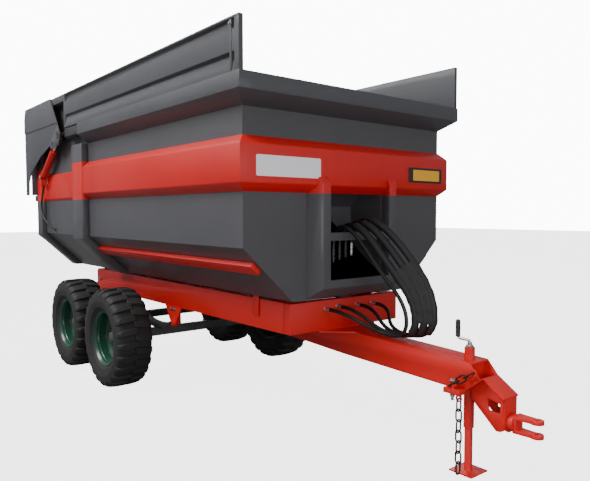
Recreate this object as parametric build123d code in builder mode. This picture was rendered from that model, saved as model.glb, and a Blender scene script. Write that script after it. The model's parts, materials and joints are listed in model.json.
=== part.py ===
"""Tandem-axle farm tipping trailer with a tub body, a lifting tailgate and a telescopic ram."""

import os
from math import atan2, cos, degrees, hypot, pi, radians, sin, tan

from build123d import *

os.makedirs("parts", exist_ok=True)

# Driving dimensions in millimetres: X forward to the hitch, Y left, Z up, the ground at Z 0.
front_x = 1725.0  # outer face of the tub's front wall
body_length = 5000.0
sheet = 6.0  # thickness of every wall of the tub
seat_gap = 0.3  # between pieces that rest on each other

# Tub section: half widths and heights.
half_width = 1143.0
floor_half_width = 670.0
floor_z = 1170.0
fold_z = 1620.0
belt_bottom_z = 2045.0
belt_top_z = 2475.0
belt_fold = 68.0
rim_bottom_z = 2780.0
rim_top_z = 2906.0
rim_half_width = 1265.0
rim_reach = 150.0  # how far the rim stands in front of the front wall
board_top_z = 3300.0

# Chassis.
rail_half_width = 640.0
rail_width = 100.0
rail_bottom_z = 880.0
rail_top_z = 1140.0
rail_rear_x = front_x - 4350.0
cross_front_x = front_x - 70.0
drawbar_half_width = 110.0
drawbar_front_x = front_x + 1300.0

# Wheels.
tyre_diameter = 1072.0
tyre_width = 389.0
wheel_face_y = 1275.0
axle_x = {"front": front_x - 2600.0, "rear": front_x - 3800.0}
lug_count = 24
lug_height = 22.0
spindle_diameter = 70.0
running_gap = 0.05  # radial play of a shaft in its hole

# Moving joints: places of their axes.
tip_x = front_x - 4250.0
tip_z = 1010.0
gate_x = front_x - 3850.0
gate_z = 2850.0
ram_x = front_x - 145.0
ram_top_z = 1660.0
ram_foot_z = 980.0
jack_x = front_x + 1220.0
yoke_z = 460.0

hub_z = tyre_diameter / 2
body_rear_x = front_x - body_length
sides = {"right": -1, "left": 1}


def block(x, y, z, mode=Mode.ADD):
    """Add a box between two limits along each axis."""
    middle = ((x[0] + x[1]) / 2, (y[0] + y[1]) / 2, (z[0] + z[1]) / 2)
    with Locations(middle):
        Box(abs(x[1] - x[0]), abs(y[1] - y[0]), abs(z[1] - z[0]), mode=mode)


def round_y(x, z, diameter, y, mode=Mode.ADD):
    """Add a cylinder along Y between two limits."""
    with Locations(Location((x, (y[0] + y[1]) / 2, z), (90, 0, 0))):
        Cylinder(diameter / 2, abs(y[1] - y[0]), mode=mode)


def round_z(x, y, diameter, z, mode=Mode.ADD):
    """Add a cylinder along Z between two limits."""
    with Locations((x, y, (z[0] + z[1]) / 2)):
        Cylinder(diameter / 2, abs(z[1] - z[0]), mode=mode)


def side_plane(y):
    """A plane at a given Y whose sketches are drawn in X and Z and extruded towards -Y."""
    return Plane(origin=(0, y, 0), x_dir=(1, 0, 0), z_dir=(0, -1, 0))


def section_plane(x):
    """A plane at a given X whose sketches are drawn in Y and Z and extruded towards +X."""
    return Plane(origin=(x, 0, 0), x_dir=(0, 1, 0), z_dir=(1, 0, 0))


def side_plate(points, y, mode=Mode.ADD):
    """Add a plate with an outline in X and Z between two limits along Y."""
    with BuildSketch(side_plane(max(y))) as outline:
        Polygon(*points, align=None)
    extrude(outline.sketch, amount=abs(y[1] - y[0]), mode=mode)


def section_bar(points, x, mode=Mode.ADD):
    """Add a bar with a section in Y and Z between two limits along X."""
    with BuildSketch(section_plane(min(x))) as outline:
        Polygon(*points, align=None)
    extrude(outline.sketch, amount=abs(x[1] - x[0]), mode=mode)


def write(part, name):
    """Label a finished piece and write it under its node's name."""
    part.label = name
    export_step(part, f"parts/{name}.step")


# Chassis frame: two box rails and the inner crossmembers.
rail_y = (rail_half_width - rail_width, rail_half_width)
inner_cross_x = [front_x - 1350.0, front_x - 2100.0, front_x - 3200.0, front_x - 4120.0]
inner_cross_height = 160.0
cross_rear_x = cross_front_x - 100.0
rail_chamfer = 30.0  # off the rails' rear top corners, so that the tipped floor clears them
rail_outline = [
    (rail_rear_x, rail_bottom_z),
    (cross_rear_x - seat_gap, rail_bottom_z),
    (cross_rear_x - seat_gap, rail_top_z),
    (rail_rear_x + rail_chamfer, rail_top_z),
    (rail_rear_x, rail_top_z - rail_chamfer),
]
with BuildPart() as chassis_frame:
    for side in sides.values():
        side_plate(rail_outline, (side * rail_y[0], side * rail_y[1]))
        round_y(tip_x, tip_z, 60, (side * rail_y[0], side * rail_y[1]), mode=Mode.SUBTRACT)
    for x in inner_cross_x:
        block((x - 40, x + 40), (-rail_y[0], rail_y[0]), (rail_bottom_z, rail_bottom_z + inner_cross_height))
write(chassis_frame.part, "chassis_frame")

# Front crossmember across the rails' ends, with a pocket at the back in which the ram stands.
pocket_half = 65.0
pocket_wall = 8.0
with BuildPart() as front_crossmember:
    block((cross_rear_x, cross_front_x), (-rail_half_width, rail_half_width), (rail_bottom_z, rail_top_z))
    block(
        (cross_rear_x - 1, cross_front_x - pocket_wall),
        (-pocket_half, pocket_half),
        (rail_bottom_z - 1, rail_top_z + 1),
        mode=Mode.SUBTRACT,
    )
write(front_crossmember.part, "front_crossmember")

# Shaft on which the tub tips, fast in the rails.
with BuildPart() as tip_shaft:
    round_y(tip_x, tip_z, 60, (-rail_half_width - 12, rail_half_width + 12))
write(tip_shaft.part, "tip_shaft")

# Rubber pads on the rails, on which the tub rests.
pad_x = [front_x - 500.0, front_x - 1800.0, front_x - 3100.0]
with BuildPart() as rest_pads:
    for side in sides.values():
        for x in pad_x:
            block(
                (x - 100, x + 100),
                (side * (rail_y[0] + 15), side * (rail_y[1] - 15)),
                (rail_top_z, floor_z - seat_gap),
            )
write(rest_pads.part, "rest_pads")

# Drawbar: a box beam that drops a little to the front, with the ram's foot, the jack's hole and gussets.
foot_lug_y = (33.0, 45.0)
foot_plate = 15.0
foot_x = (ram_x - 60.0, cross_front_x - pocket_wall - seat_gap)
drawbar_rear_x = front_x - 1390.0
drawbar_outline = [
    (drawbar_rear_x, 740),
    (drawbar_rear_x, rail_bottom_z),
    (front_x, rail_bottom_z),
    (drawbar_front_x, 830),
    (drawbar_front_x + 90, 725),
    (drawbar_front_x - 40, 620),
    (front_x, 665),
]
jack_tube_diameter = 76.0
link_wire = 13.0
link_length = 104.0
link_width = 58.0
link_play = 1.0  # between links that hang in each other
link_pitch = link_length - 2 * link_wire - 2 * link_play
chain_y = -drawbar_half_width - 48.0
tab_x = (front_x + 1130.0, front_x + 1270.0)
tab_z = (604.0, 640.0)
tab_bolt_x = front_x + 1190.0
chain_eye = (front_x + 1246.0, 576.0)  # X and Z of the eye from which the chain hangs
eye_hole = 30.0
eye_thickness = 12.0
stay_angle = 33.0  # of the short run of chain from the tab's bolt up to the eye at the drawbar's end
stay_start = (tab_bolt_x - 28.0, 650.5)  # middle of the wire of its lowest link
stay_count = 3
stay_length = link_length - link_wire + (stay_count - 1) * link_pitch
stay_eye = (
    stay_start[0] + stay_length * cos(radians(stay_angle)),
    stay_start[1] + stay_length * sin(radians(stay_angle)),
)
stay_stud = (stay_eye[0] - 19.4, stay_eye[1] - 43.6)  # X and Z of the stud that carries the upper eye
drawbar_wall = 8.0
open_end = [
    # cavity of the open end, X and Z
    (front_x + 1266, 822),
    (front_x + 1400, 820),
    (front_x + 1400, 749),
    (front_x + 1266, 640),
]


def chain_plane(x, z, turn):
    """Plane across a chain's eye plate, or of a link turned about an upright run."""
    return Plane(
        origin=(x, chain_y, z),
        x_dir=(cos(radians(turn)), sin(radians(turn)), 0),
        z_dir=(sin(radians(turn)), -cos(radians(turn)), 0),
    )


with BuildPart() as drawbar:
    side_plate(drawbar_outline, (-drawbar_half_width, drawbar_half_width))
    for side in sides.values():
        with BuildSketch(Plane.XY.offset(rail_bottom_z - 12)):
            Polygon(
                (front_x - 170, side * drawbar_half_width),
                (front_x - 170, side * 330),
                (cross_front_x, side * 330),
                (cross_front_x + 230, side * drawbar_half_width),
                align=None,
            )
        extrude(amount=12)
        block(foot_x, (side * foot_lug_y[0], side * foot_lug_y[1]), (rail_bottom_z, ram_foot_z + 30))
    block(foot_x, (-foot_lug_y[1], foot_lug_y[1]), (rail_bottom_z - 1, rail_bottom_z + foot_plate))
    side_plate(open_end, (-drawbar_half_width + drawbar_wall, drawbar_half_width - drawbar_wall), mode=Mode.SUBTRACT)
    block(tab_x, (-drawbar_half_width + 2, chain_y - 30), tab_z)
    round_z(tab_bolt_x, chain_y, 24, (tab_z[0] - 8, 686))
    round_z(tab_bolt_x, chain_y, 38, (682, 696))
    round_y(*stay_stud, 26, (-drawbar_half_width + 1, chain_y + eye_thickness / 2))
    for x, z, base in (
        (chain_eye[0], chain_eye[1], (chain_eye[0], tab_z[0])),
        (stay_eye[0], stay_eye[1], stay_stud),
    ):
        with BuildSketch(side_plane(chain_y + eye_thickness / 2)) as eye:
            with Locations((x, z)):
                Circle(24)
            with Locations(base):
                Rectangle(34, 24)
            make_hull()
            with Locations((x, z)):
                Circle(eye_hole / 2, mode=Mode.SUBTRACT)
        extrude(eye.sketch, amount=eye_thickness)
    round_z(jack_x, 0, jack_tube_diameter, (500, 1000), mode=Mode.SUBTRACT)
write(drawbar.part, "drawbar")

# Head under the drawbar's end: two cheeks, a sloped nose plate and the upright plate of the yoke.
head_x = front_x + 1545.0
cheek_outline = [
    (drawbar_front_x + 90, 725 - seat_gap),
    (head_x, 620),
    (head_x, 400),
    (head_x - 30, 385),
    (head_x - 60, 385),
    (jack_x + 60, 570),
    (jack_x + 60, 620),
    (drawbar_front_x - 40, 620 - seat_gap),
]
window_outline = [(head_x - 130, 600), (head_x - 30, 580), (head_x - 30, 510), (head_x - 120, 520)]
nose_outline = [
    (drawbar_front_x + 92, 727),
    (drawbar_front_x + 100, 737),
    (head_x + 15, 632),
    (head_x + 15, 620),
    (head_x, 620),
]
with BuildPart() as drawbar_head:
    for side in sides.values():
        side_plate(cheek_outline, (side * 50, side * 62))
        side_plate(window_outline, (side * 50, side * 62), mode=Mode.SUBTRACT)
    side_plate(nose_outline, (-90, 90))
    with BuildSketch(section_plane(head_x)):
        with Locations((0, 540)):
            Rectangle(150, 160)
        with Locations((0, yoke_z)):
            Circle(75)
    extrude(amount=15)
    with Locations(Location((head_x, 0, yoke_z), (0, 90, 0))):
        Cylinder(30 + running_gap, 100, mode=Mode.SUBTRACT)
write(drawbar_head.part, "drawbar_head")

# Yoke on the swivel: a shank through the head plate and an upright fork.
yoke_tip_x = front_x + 1800.0
prong_z = (35.0, 60.0)
prong_eye_x = yoke_tip_x - 45.0
pin_hole = 33.0
with BuildPart() as yoke:
    with Locations(Location((head_x, 0, yoke_z), (0, 90, 0))):
        Cylinder(30, 100)
    with Locations(Location((head_x + 15.5 + 22, 0, yoke_z), (0, 90, 0))):
        Cylinder(62, 43)
    with Locations(Location((head_x - 32, 0, yoke_z), (0, 90, 0))):
        Cylinder(45, 40)
    block((head_x + 55, head_x + 80), (-45, 45), (yoke_z - prong_z[1], yoke_z + prong_z[1]))
    for prong_side in (-1, 1):
        with BuildSketch(Plane.XY.offset(yoke_z + (prong_z[0] if prong_side > 0 else -prong_z[1]))):
            Polygon(
                (head_x + 60, -45),
                (head_x + 60, 45),
                (prong_eye_x - 20, 36),
                (prong_eye_x - 20, -36),
                align=None,
            )
            with Locations((prong_eye_x, 0)):
                Circle(45)
                Circle(pin_hole / 2, mode=Mode.SUBTRACT)
        extrude(amount=prong_z[1] - prong_z[0])
write(yoke.part, "yoke")

# Parking jack: the tube fast in the drawbar, the leg that slides in it and the crank on top.
jack_leg_diameter = 60.0
jack_top_z = 916.0
with BuildPart() as jack_tube:
    round_z(jack_x, 0, jack_tube_diameter, (330, jack_top_z))
    round_z(jack_x, 0, jack_leg_diameter + 2 * running_gap, (330, jack_top_z - 12), mode=Mode.SUBTRACT)
write(jack_tube.part, "jack_tube")

with BuildPart() as jack_leg:
    round_z(jack_x, 0, jack_leg_diameter, (12, 590))
    block((jack_x - 100, jack_x + 100), (-100, 100), (0, 12))
write(jack_leg.part, "jack_leg")

crank_z = 965.0
with BuildPart() as jack_crank:
    round_z(jack_x, 0, 22, (jack_top_z, crank_z + 8))
    block((jack_x - 118, jack_x + 14), (-14, 14), (crank_z - 6, crank_z + 6))
    round_z(jack_x - 105, 0, 30, (crank_z + 6, crank_z + 135))
write(jack_crank.part, "jack_crank")

# Axles: a square beam with a round spindle at each end.
beam_half = 45.0
spindle_end_y = 1110.0
for axle, x in axle_x.items():
    with BuildPart() as axle_beam:
        block((x - beam_half, x + beam_half), (-860, 860), (hub_z - beam_half, hub_z + beam_half))
        round_y(x, hub_z, spindle_diameter, (-spindle_end_y, spindle_end_y))
    write(axle_beam.part, f"axle_{axle}")

# Wheels: the rim with its dished disc and hub, and the tyre with staggered lugs.
rim_radius = 298.0
bead_radius = 282.0
rim_half = 152.0
rim_sides = 30
tyre_mid_y = wheel_face_y - tyre_width / 2
disc_y = tyre_mid_y - 25.0
tyre_radius = tyre_diameter / 2
carcass_radius = tyre_radius - lug_height


def faceted_wheel(points, centre_x, side):
    """Solid of flat faces turned about a wheel's axis from a profile of (radius, distance from the middle)."""
    turns = [2 * pi * step / rim_sides for step in range(rim_sides)]
    rings = [
        [Vector(centre_x + radius * sin(turn), side * y, hub_z + radius * cos(turn)) for turn in turns]
        for radius, y in points
    ]
    faces = []
    for ring, after in zip(rings, rings[1:] + rings[:1]):
        for step in range(rim_sides):
            follow = (step + 1) % rim_sides
            corners = (ring[step], ring[follow], after[follow], after[step])
            faces.append(Face(Wire.make_polygon(corners, close=True)))
    return Solid(Shell(faces))


rim_profile = [
    (30.0, 866),
    (30.0, 1112),
    (80.0, 1112),
    (80.0, disc_y + 12),
    (225, disc_y + 12),
    (bead_radius - 16, disc_y + 50),
    (bead_radius - 16, tyre_mid_y + rim_half - 25),
    (rim_radius - 4, tyre_mid_y + rim_half),
    (rim_radius, tyre_mid_y + rim_half - 10),
    (bead_radius - 8, tyre_mid_y + rim_half - 22),
    (bead_radius - 8, tyre_mid_y - rim_half + 22),
    (rim_radius, tyre_mid_y - rim_half + 10),
    (rim_radius - 4, tyre_mid_y - rim_half),
    (bead_radius - 16, tyre_mid_y - rim_half + 22),
    (bead_radius - 16, disc_y + 30),
    (215, disc_y),
    (150, disc_y),
    (150, 866),
]
tyre_sides = 24
tyre_hole = 301.6  # to the corners of the faceted hole, whose flats clear the rim's flanges
sidewall_bands = [
    # radius at the inner end, radius at the outer end, distance of both from the tyre's middle
    (carcass_radius - 2, 484.0, 132.0, 172.0),
    (484.0, 430.0, 172.0, tyre_width / 2),
]
shoulder = 150.0  # half the width over the lugs
lug_table = [
    # place of a lug's corner as a share of the pitch, radius
    (-0.28, carcass_radius),
    (-0.21, tyre_radius),
    (0.21, tyre_radius),
    (0.28, carcass_radius),
]
lug_pitch = 360.0 / lug_count


def tread_ring(centre_x, y, phase):
    """Add one half of the tread, a faceted ring with its lugs, between two limits along Y."""
    outline = []
    for lug in range(lug_count):
        for turn, radius in lug_table:
            angle = radians((lug + turn + phase) * lug_pitch)
            outline.append((centre_x + radius * sin(angle), hub_z + radius * cos(angle)))
    with BuildSketch(side_plane(max(y))) as ring:
        Polygon(*outline, align=None)
    extrude(ring.sketch, amount=abs(y[1] - y[0]))


def sidewall_band(centre_x, band, side, face):
    """Add one faceted band of a sidewall, narrower towards the tyre's face."""
    inner, outer, near, far = band
    middle = side * tyre_mid_y
    sketches = []
    for radius, reach in ((inner, near), (outer, far)):
        with BuildSketch(side_plane(middle + face * reach)) as polygon:
            with Locations((centre_x, hub_z)):
                RegularPolygon(radius, tyre_sides)
        sketches.append(polygon.sketch)
    loft(sketches, ruled=True)


for axle, x in axle_x.items():
    for name, side in sides.items():
        with BuildPart() as rim:
            add(faceted_wheel(rim_profile, x, side))
            round_y(
                x,
                hub_z,
                spindle_diameter + 2 * running_gap,
                (side * 860, side * 1120),
                mode=Mode.SUBTRACT,
            )
        write(rim.part, f"rim_{axle}_{name}")
        middle = side * tyre_mid_y
        with BuildPart() as tyre:
            tread_ring(x, (middle, middle + side * shoulder), 0.0)
            tread_ring(x, (middle - side * shoulder, middle), 0.5)
            for face in (-1, 1):
                for band in sidewall_bands:
                    sidewall_band(x, band, side, face)
            with BuildSketch(side_plane(middle + tyre_width)) as hole:
                with Locations((x, hub_z)):
                    RegularPolygon(tyre_hole, tyre_sides)
            extrude(hole.sketch, amount=2 * tyre_width, mode=Mode.SUBTRACT)
        write(tyre.part, f"tyre_{axle}_{name}")

# Suspension: hangers under the rails and a leaf pack over each axle.
spring_y = (545.0, 635.0)
spring_half_length = 420.0
spring_seat_z = hub_z + beam_half
bogie_x = (axle_x["front"] + axle_x["rear"]) / 2
hanger_table = [
    # middle X, half width at the rail, half width at the boss
    (axle_x["front"] + spring_half_length + 45, 180.0, 45.0),
    (bogie_x, 210.0, 60.0),
    (axle_x["rear"] - spring_half_length - 45, 85.0, 45.0),
]
hanger_boss_z = 700.0
with BuildPart() as hangers:
    for side in sides.values():
        for x, top, low in hanger_table:
            side_plate(
                [
                    (x - top, rail_bottom_z),
                    (x + top, rail_bottom_z),
                    (x + low, hanger_boss_z - 30),
                    (x - low, hanger_boss_z - 30),
                ],
                (side * (rail_half_width + 4), side * (rail_half_width - 10)),
            )
            round_y(x, hanger_boss_z, 70, (side * (spring_y[0] + 20), side * (rail_half_width + 16)))
            block(
                (x - 30, x + 30),
                (side * (spring_y[0] + 20), side * (rail_half_width + 4)),
                (hanger_boss_z, rail_bottom_z),
            )
write(hangers.part, "spring_hangers")

leaf_count = 4
leaf_thickness = 16.0
leaf_rise = 75.0
leaf_step = 0.2  # how much shorter each leaf is than the one above it, as a share of the longest
leaf_seat = 0.11  # flat middle of the pack, as a share of the longest leaf


def leaf_pack_outline(x):
    """Outline in X and Z of a pack of leaves bent up towards their ends, the shortest at the bottom."""
    ends = [1 - leaf_step * leaf for leaf in range(leaf_count)]
    shares = ends + [leaf_seat]
    rise = {share: leaf_rise * (share**2 - leaf_seat**2) for share in shares}
    pack = leaf_count * leaf_thickness
    upper = [(share, rise[share] + pack) for share in shares]
    under = [(1.0, rise[1.0] + pack - leaf_thickness)]
    for leaf, share in enumerate(ends[1:], start=1):
        under.append((share, rise[share] + pack - leaf * leaf_thickness))
        under.append((share, rise[share] + pack - (leaf + 1) * leaf_thickness))
    under.append((leaf_seat, 0.0))
    right = upper[::-1] + under
    points = right + [(-share, z) for share, z in right[::-1]]
    return [(x + share * spring_half_length, spring_seat_z + z) for share, z in points]


with BuildPart() as springs:
    for side in sides.values():
        for x in axle_x.values():
            side_plate(leaf_pack_outline(x), (side * (spring_y[0] + 5), side * (spring_y[1] - 5)))
write(springs.part, "leaf_springs")

# Rear light bar with a lamp panel at each end.
light_x = rail_rear_x - 130.0
light_z = (730.0, 790.0)
with BuildPart() as light_bar:
    block((light_x - 30, light_x + 30), (-1100, 1100), light_z)
    for side in sides.values():
        block((light_x, rail_rear_x), (side * rail_y[0], side * rail_y[1]), (light_z[1], rail_bottom_z + 60))
    block((light_x - 30, light_x + 30), (-640, 640), (light_z[1], light_z[1] + 20))
write(light_bar.part, "light_bar")
with BuildPart() as lamps:
    for side in sides.values():
        block(
            (light_x - 66, light_x - 30),
            (side * 760, side * 1100),
            (light_z[0] - 20, light_z[1] + 60),
        )
write(lamps.part, "rear_lamps")

# Safety chain: links that hang from the eye under the tab, and the short run up to the drawbar's end.
link_corner = 20.0


def chain_link(plane):
    """Add a link with cut corners whose length lies along a plane's second direction."""
    with BuildSketch(plane) as link:
        for length, width, corner, mode in (
            (link_length, link_width, link_corner, Mode.ADD),
            (link_length - 2 * link_wire, link_width - 2 * link_wire, link_corner - link_wire / 2, Mode.SUBTRACT),
        ):
            end = length / 2
            flank = width / 2
            Polygon(
                (-flank, end - corner),
                (corner - flank, end),
                (flank - corner, end),
                (flank, end - corner),
                (flank, corner - end),
                (flank - corner, -end),
                (corner - flank, -end),
                (-flank, corner - end),
                align=None,
                mode=mode,
            )
    extrude(link.sketch, amount=link_wire / 2, both=True)


hanging_count = 7
with BuildPart() as safety_chain:
    for link in range(hanging_count):
        z = chain_eye[1] - link_length / 2 + link_wire / 2 - link * link_pitch
        chain_link(chain_plane(chain_eye[0], z, 90 * ((link + 1) % 2)))
    for link in range(stay_count):
        reach = link_length / 2 - link_wire / 2 + link * link_pitch
        along = (cos(radians(stay_angle)), 0.0, sin(radians(stay_angle)))
        across = (-sin(radians(stay_angle)), 0.0, cos(radians(stay_angle)))
        place = (stay_start[0] + reach * along[0], chain_y, stay_start[1] + reach * along[2])
        if link % 2 == 0:
            chain_link(Plane(origin=place, x_dir=(0, 1, 0), z_dir=across))
        else:
            chain_link(Plane(origin=place, x_dir=across, z_dir=(0, 1, 0)))
write(safety_chain.part, "safety_chain")

# Tub floor and side walls: folded sheets, each a solid of its own that meets the next one face to face.
floor_top_z = floor_z + sheet
chamfer_angle = atan2(fold_z - floor_z, half_width - floor_half_width)
chamfer_in = sheet * (1 - cos(chamfer_angle)) / sin(chamfer_angle)
recess_half = 350.0
recess_depth = 400.0
recess_top_z = 2130.0
with BuildPart() as tub_floor:
    block((body_rear_x, front_x - sheet), (-floor_half_width, floor_half_width), (floor_z, floor_top_z))
    block((front_x - recess_depth, front_x), (-recess_half, recess_half), (floor_z - 1, floor_top_z + 1),
          mode=Mode.SUBTRACT)
write(tub_floor.part, "tub_floor")

for name, side in sides.items():
    wall_section = [
        (side * floor_half_width, floor_z),
        (side * half_width, fold_z),
        (side * half_width, rim_top_z),
        (side * (half_width - sheet), rim_top_z),
        (side * (half_width - sheet), fold_z + chamfer_in),
        (side * floor_half_width, floor_z + sheet / cos(chamfer_angle)),
    ]
    with BuildPart() as tub_side:
        section_bar(wall_section, (body_rear_x, front_x - sheet))
    write(tub_side.part, f"tub_side_{name}")

# Front wall with the recess in which the ram stands, its slanted posts and the bars across it.
front_outline = [
    (-floor_half_width, floor_z),
    (floor_half_width, floor_z),
    (half_width, fold_z),
    (half_width, rim_top_z),
    (-half_width, rim_top_z),
    (-half_width, fold_z),
]
recess_back_x = front_x - recess_depth
recess_slope = 180.0
recess_side = [
    (front_x - sheet, floor_z),
    (front_x - sheet, recess_top_z),
    (recess_back_x + recess_slope, recess_top_z),
    (recess_back_x, recess_top_z - recess_slope),
    (recess_back_x, floor_z),
]
recess_inside = [
    (front_x + 1, floor_z - 1),
    (front_x + 1, recess_top_z - sheet),
    (recess_back_x + recess_slope + 3, recess_top_z - sheet),
    (recess_back_x + sheet, recess_top_z - recess_slope - 3),
    (recess_back_x + sheet, floor_z - 1),
]
with BuildPart() as tub_front:
    section_bar(front_outline, (front_x - sheet, front_x))
    side_plate(recess_side, (-recess_half, recess_half))
    side_plate(recess_inside, (-recess_half + sheet, recess_half - sheet), mode=Mode.SUBTRACT)
write(tub_front.part, "tub_front")

belt_out = 70.0
frame_out = 105.0
post_foot = 435.0  # half width over the posts' front faces
post_root = 530.0  # half width over the posts at the wall
bar_depth = 53.0
bar_table = [
    # lower Z, upper Z
    (1262.0, 1330.0),
    (1655.0, 1725.0),
]
post_outline = [
    # ahead of the wall, Z: the foot slopes back under the body, the top leans over the belt's lower fold
    (0.0, 1177.0),
    (frame_out, bar_table[0][0]),
    (frame_out, 2120.0),
    (belt_out + seat_gap, 2185.0),
    (belt_out + seat_gap, belt_bottom_z + belt_fold - 2 * seat_gap),
    (0.0, belt_bottom_z - 2 * seat_gap),
]
apron_outline = [
    # ahead of the wall, Z
    (0.0, 1177.0),
    (frame_out, bar_table[0][0]),
    (frame_out, bar_table[0][0] + 8),
    (0.0, 1185.0),
]
with BuildPart() as recess_frame:
    for side in sides.values():
        with BuildSketch(Plane.XY.offset(floor_top_z)):
            Polygon(
                (front_x, side * recess_half),
                (front_x + frame_out, side * recess_half),
                (front_x + frame_out, side * post_foot),
                (front_x, side * post_root),
                align=None,
            )
        extrude(amount=belt_top_z - floor_top_z)
    side_plate([(front_x + x, z) for x, z in post_outline], (-post_root - 1, post_root + 1), mode=Mode.INTERSECT)
    side_plate([(front_x + x, z) for x, z in apron_outline], (-recess_half, recess_half))
    for low, high in bar_table:
        block((front_x + frame_out - bar_depth, front_x + frame_out), (-recess_half, recess_half), (low, high))
write(recess_frame.part, "recess_frame")

# Rim: a channel round the front and the sides, sloped underneath.
slope_z = rim_bottom_z - 95.0
rim_rear_x = front_x - 3200.0
rim_out = rim_half_width - half_width
board_rear_x = gate_x - 1050.0
board_step_x = gate_x + 200.0  # behind it the boards leave room for the tailgate rams
board_y = rim_half_width - 3.0


def rim_channel(out, inset):
    """Outline of the rim from the wall outwards: its reach and how far the outline lies inside the sheet."""
    return [
        (0.0, slope_z + inset * 1.4),
        (out - inset, rim_bottom_z + inset * 0.7),
        (out - inset, rim_top_z - inset),
        (0.0, rim_top_z - inset),
    ]


rim_steps = []
for inset in (0.0, sheet):
    across = rim_channel(rim_out, inset)
    along = rim_channel(rim_reach, inset)
    with BuildPart() as rim_solid:
        section_bar(
            [(half_width + y, z) for y, z in across[:3]] + [(-half_width - y, z) for y, z in across[2::-1]],
            (front_x, front_x + rim_reach),
        )
        side_plate(
            [(front_x + x, z) for x, z in along],
            (-rim_half_width - 1, rim_half_width + 1),
            mode=Mode.INTERSECT,
        )
    rim_steps.append(rim_solid.part)
with BuildPart() as rim_channel_part:
    add(rim_steps[0])
    for side in sides.values():
        section_bar([(side * (half_width + y), z) for y, z in rim_channel(rim_out, 0.0)], (rim_rear_x, front_x))
    add(rim_steps[1], mode=Mode.SUBTRACT)
    for side in sides.values():
        section_bar(
            [(side * (half_width + y), z) for y, z in rim_channel(rim_out, sheet)],
            (rim_rear_x, front_x),
            mode=Mode.SUBTRACT,
        )
        block((board_step_x, rim_rear_x), (side * half_width, side * board_y), (rim_top_z - sheet, rim_top_z))
write(rim_channel_part.part, "rim_channel")

# Hoops that stiffen the rear of the tub, both sides of one hoop sharing a node with the other.
hoop_table = [
    # rear X, front X, how far it stands out
    (body_rear_x, body_rear_x + 180, 60.0),
    (front_x - 3550, front_x - 3210, 74.0),
]


def offset_section(side, out, top_z, bottom_z):
    """Section of a band of a given thickness on the outside of a side wall and its chamfer."""
    fold_drop = out * (1 / cos(chamfer_angle) - sin(chamfer_angle) / cos(chamfer_angle))
    low_y = half_width - (fold_z - bottom_z) / (fold_z - floor_z) * (half_width - floor_half_width)
    return [
        (side * half_width, top_z),
        (side * (half_width + out), top_z),
        (side * (half_width + out), fold_z - fold_drop),
        (side * (low_y + out / sin(chamfer_angle)), bottom_z),
        (side * low_y, bottom_z),
        (side * half_width, fold_z),
    ]


rear_belt_out = 20.0
rear_belt_profile = [
    # out from the wall, Z
    (0.0, belt_bottom_z),
    (rear_belt_out, belt_bottom_z + 30),
    (rear_belt_out, belt_top_z - 90),
    (0.0, belt_top_z - 85),
]
with BuildPart() as hoops:
    for side in sides.values():
        for rear, front, out in hoop_table:
            section_bar(offset_section(side, out, slope_z, floor_z), (rear, front))
        section_bar(
            [(side * (half_width + y), z) for y, z in rear_belt_profile],
            (hoop_table[0][1], hoop_table[1][0]),
        )
write(hoops.part, "rear_hoops")

# Belt: the raised band round the front and the sides.
belt_profile = [
    # out from the wall, Z
    (0.0, belt_bottom_z),
    (belt_out, belt_bottom_z + belt_fold),
    (belt_out, belt_top_z - belt_fold),
    (0.0, belt_top_z),
]
with BuildPart() as belt:
    section_bar(
        [(half_width + y, z) for y, z in belt_profile] + [(-half_width - y, z) for y, z in belt_profile[::-1]],
        (front_x, front_x + belt_out),
    )
    side_plate(
        [(front_x + x, z) for x, z in belt_profile],
        (-half_width - belt_out - 1, half_width + belt_out + 1),
        mode=Mode.INTERSECT,
    )
    for side in sides.values():
        section_bar([(side * (half_width + y), z) for y, z in belt_profile], (hoop_table[1][1], front_x))
write(belt.part, "belt")

# Stringers along the chamfers.
stringer_start = 165.0  # down the chamfer from its upper fold
stringer_width = 105.0
stringer_out = 45.0


def on_chamfer(side, down, out):
    """A point at a distance down the chamfer from its upper fold and a distance out of it."""
    return (
        side * (half_width - down * cos(chamfer_angle) + out * sin(chamfer_angle)),
        fold_z - down * sin(chamfer_angle) - out * cos(chamfer_angle),
    )


with BuildPart() as stringers:
    for side in sides.values():
        section_bar(
            [
                on_chamfer(side, stringer_start, 0),
                on_chamfer(side, stringer_start, stringer_out),
                on_chamfer(side, stringer_start + stringer_width, stringer_out),
                on_chamfer(side, stringer_start + stringer_width, 0),
            ],
            (hoop_table[1][1], front_x - 40),
        )
write(stringers.part, "stringers")

# Side boards on the rim, folded with two sunk stripes.
board_front_x = front_x + rim_reach - 10.0
board_thickness = 40.0
board_rail_z = 3214.0
board_profile = [
    # in from the outer face, Z
    (board_thickness, rim_top_z + seat_gap),
    (0.0, rim_top_z + seat_gap),
    (8.0, 2967.0),
    (30.0, 3036.0),
    (0.0, 3046.0),
    (0.0, 3206.0),
    (26.0, 3214.0),
    (26.0, 3276.0),
    (0.0, 3284.0),
    (0.0, board_top_z),
    (board_thickness, board_top_z),
]
for name, side in sides.items():
    with BuildPart() as board:
        section_bar([(side * (board_y - y), z) for y, z in board_profile], (board_step_x, board_front_x))
        block(
            (board_step_x, board_step_x + 40),
            (side * (half_width - sheet), side * board_y),
            (rim_top_z + seat_gap, board_top_z),
        )
        block(
            (board_front_x - 60, board_front_x),
            (side * (board_y - board_thickness), side * board_y),
            (rim_top_z + seat_gap, board_top_z),
        )
        block(
            (board_front_x - 115, board_front_x - 90),
            (side * (board_y - board_thickness), side * (board_y + 4)),
            (rim_top_z + seat_gap, board_top_z - 25),
        )
    write(board.part, f"side_board_{name}")

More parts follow.
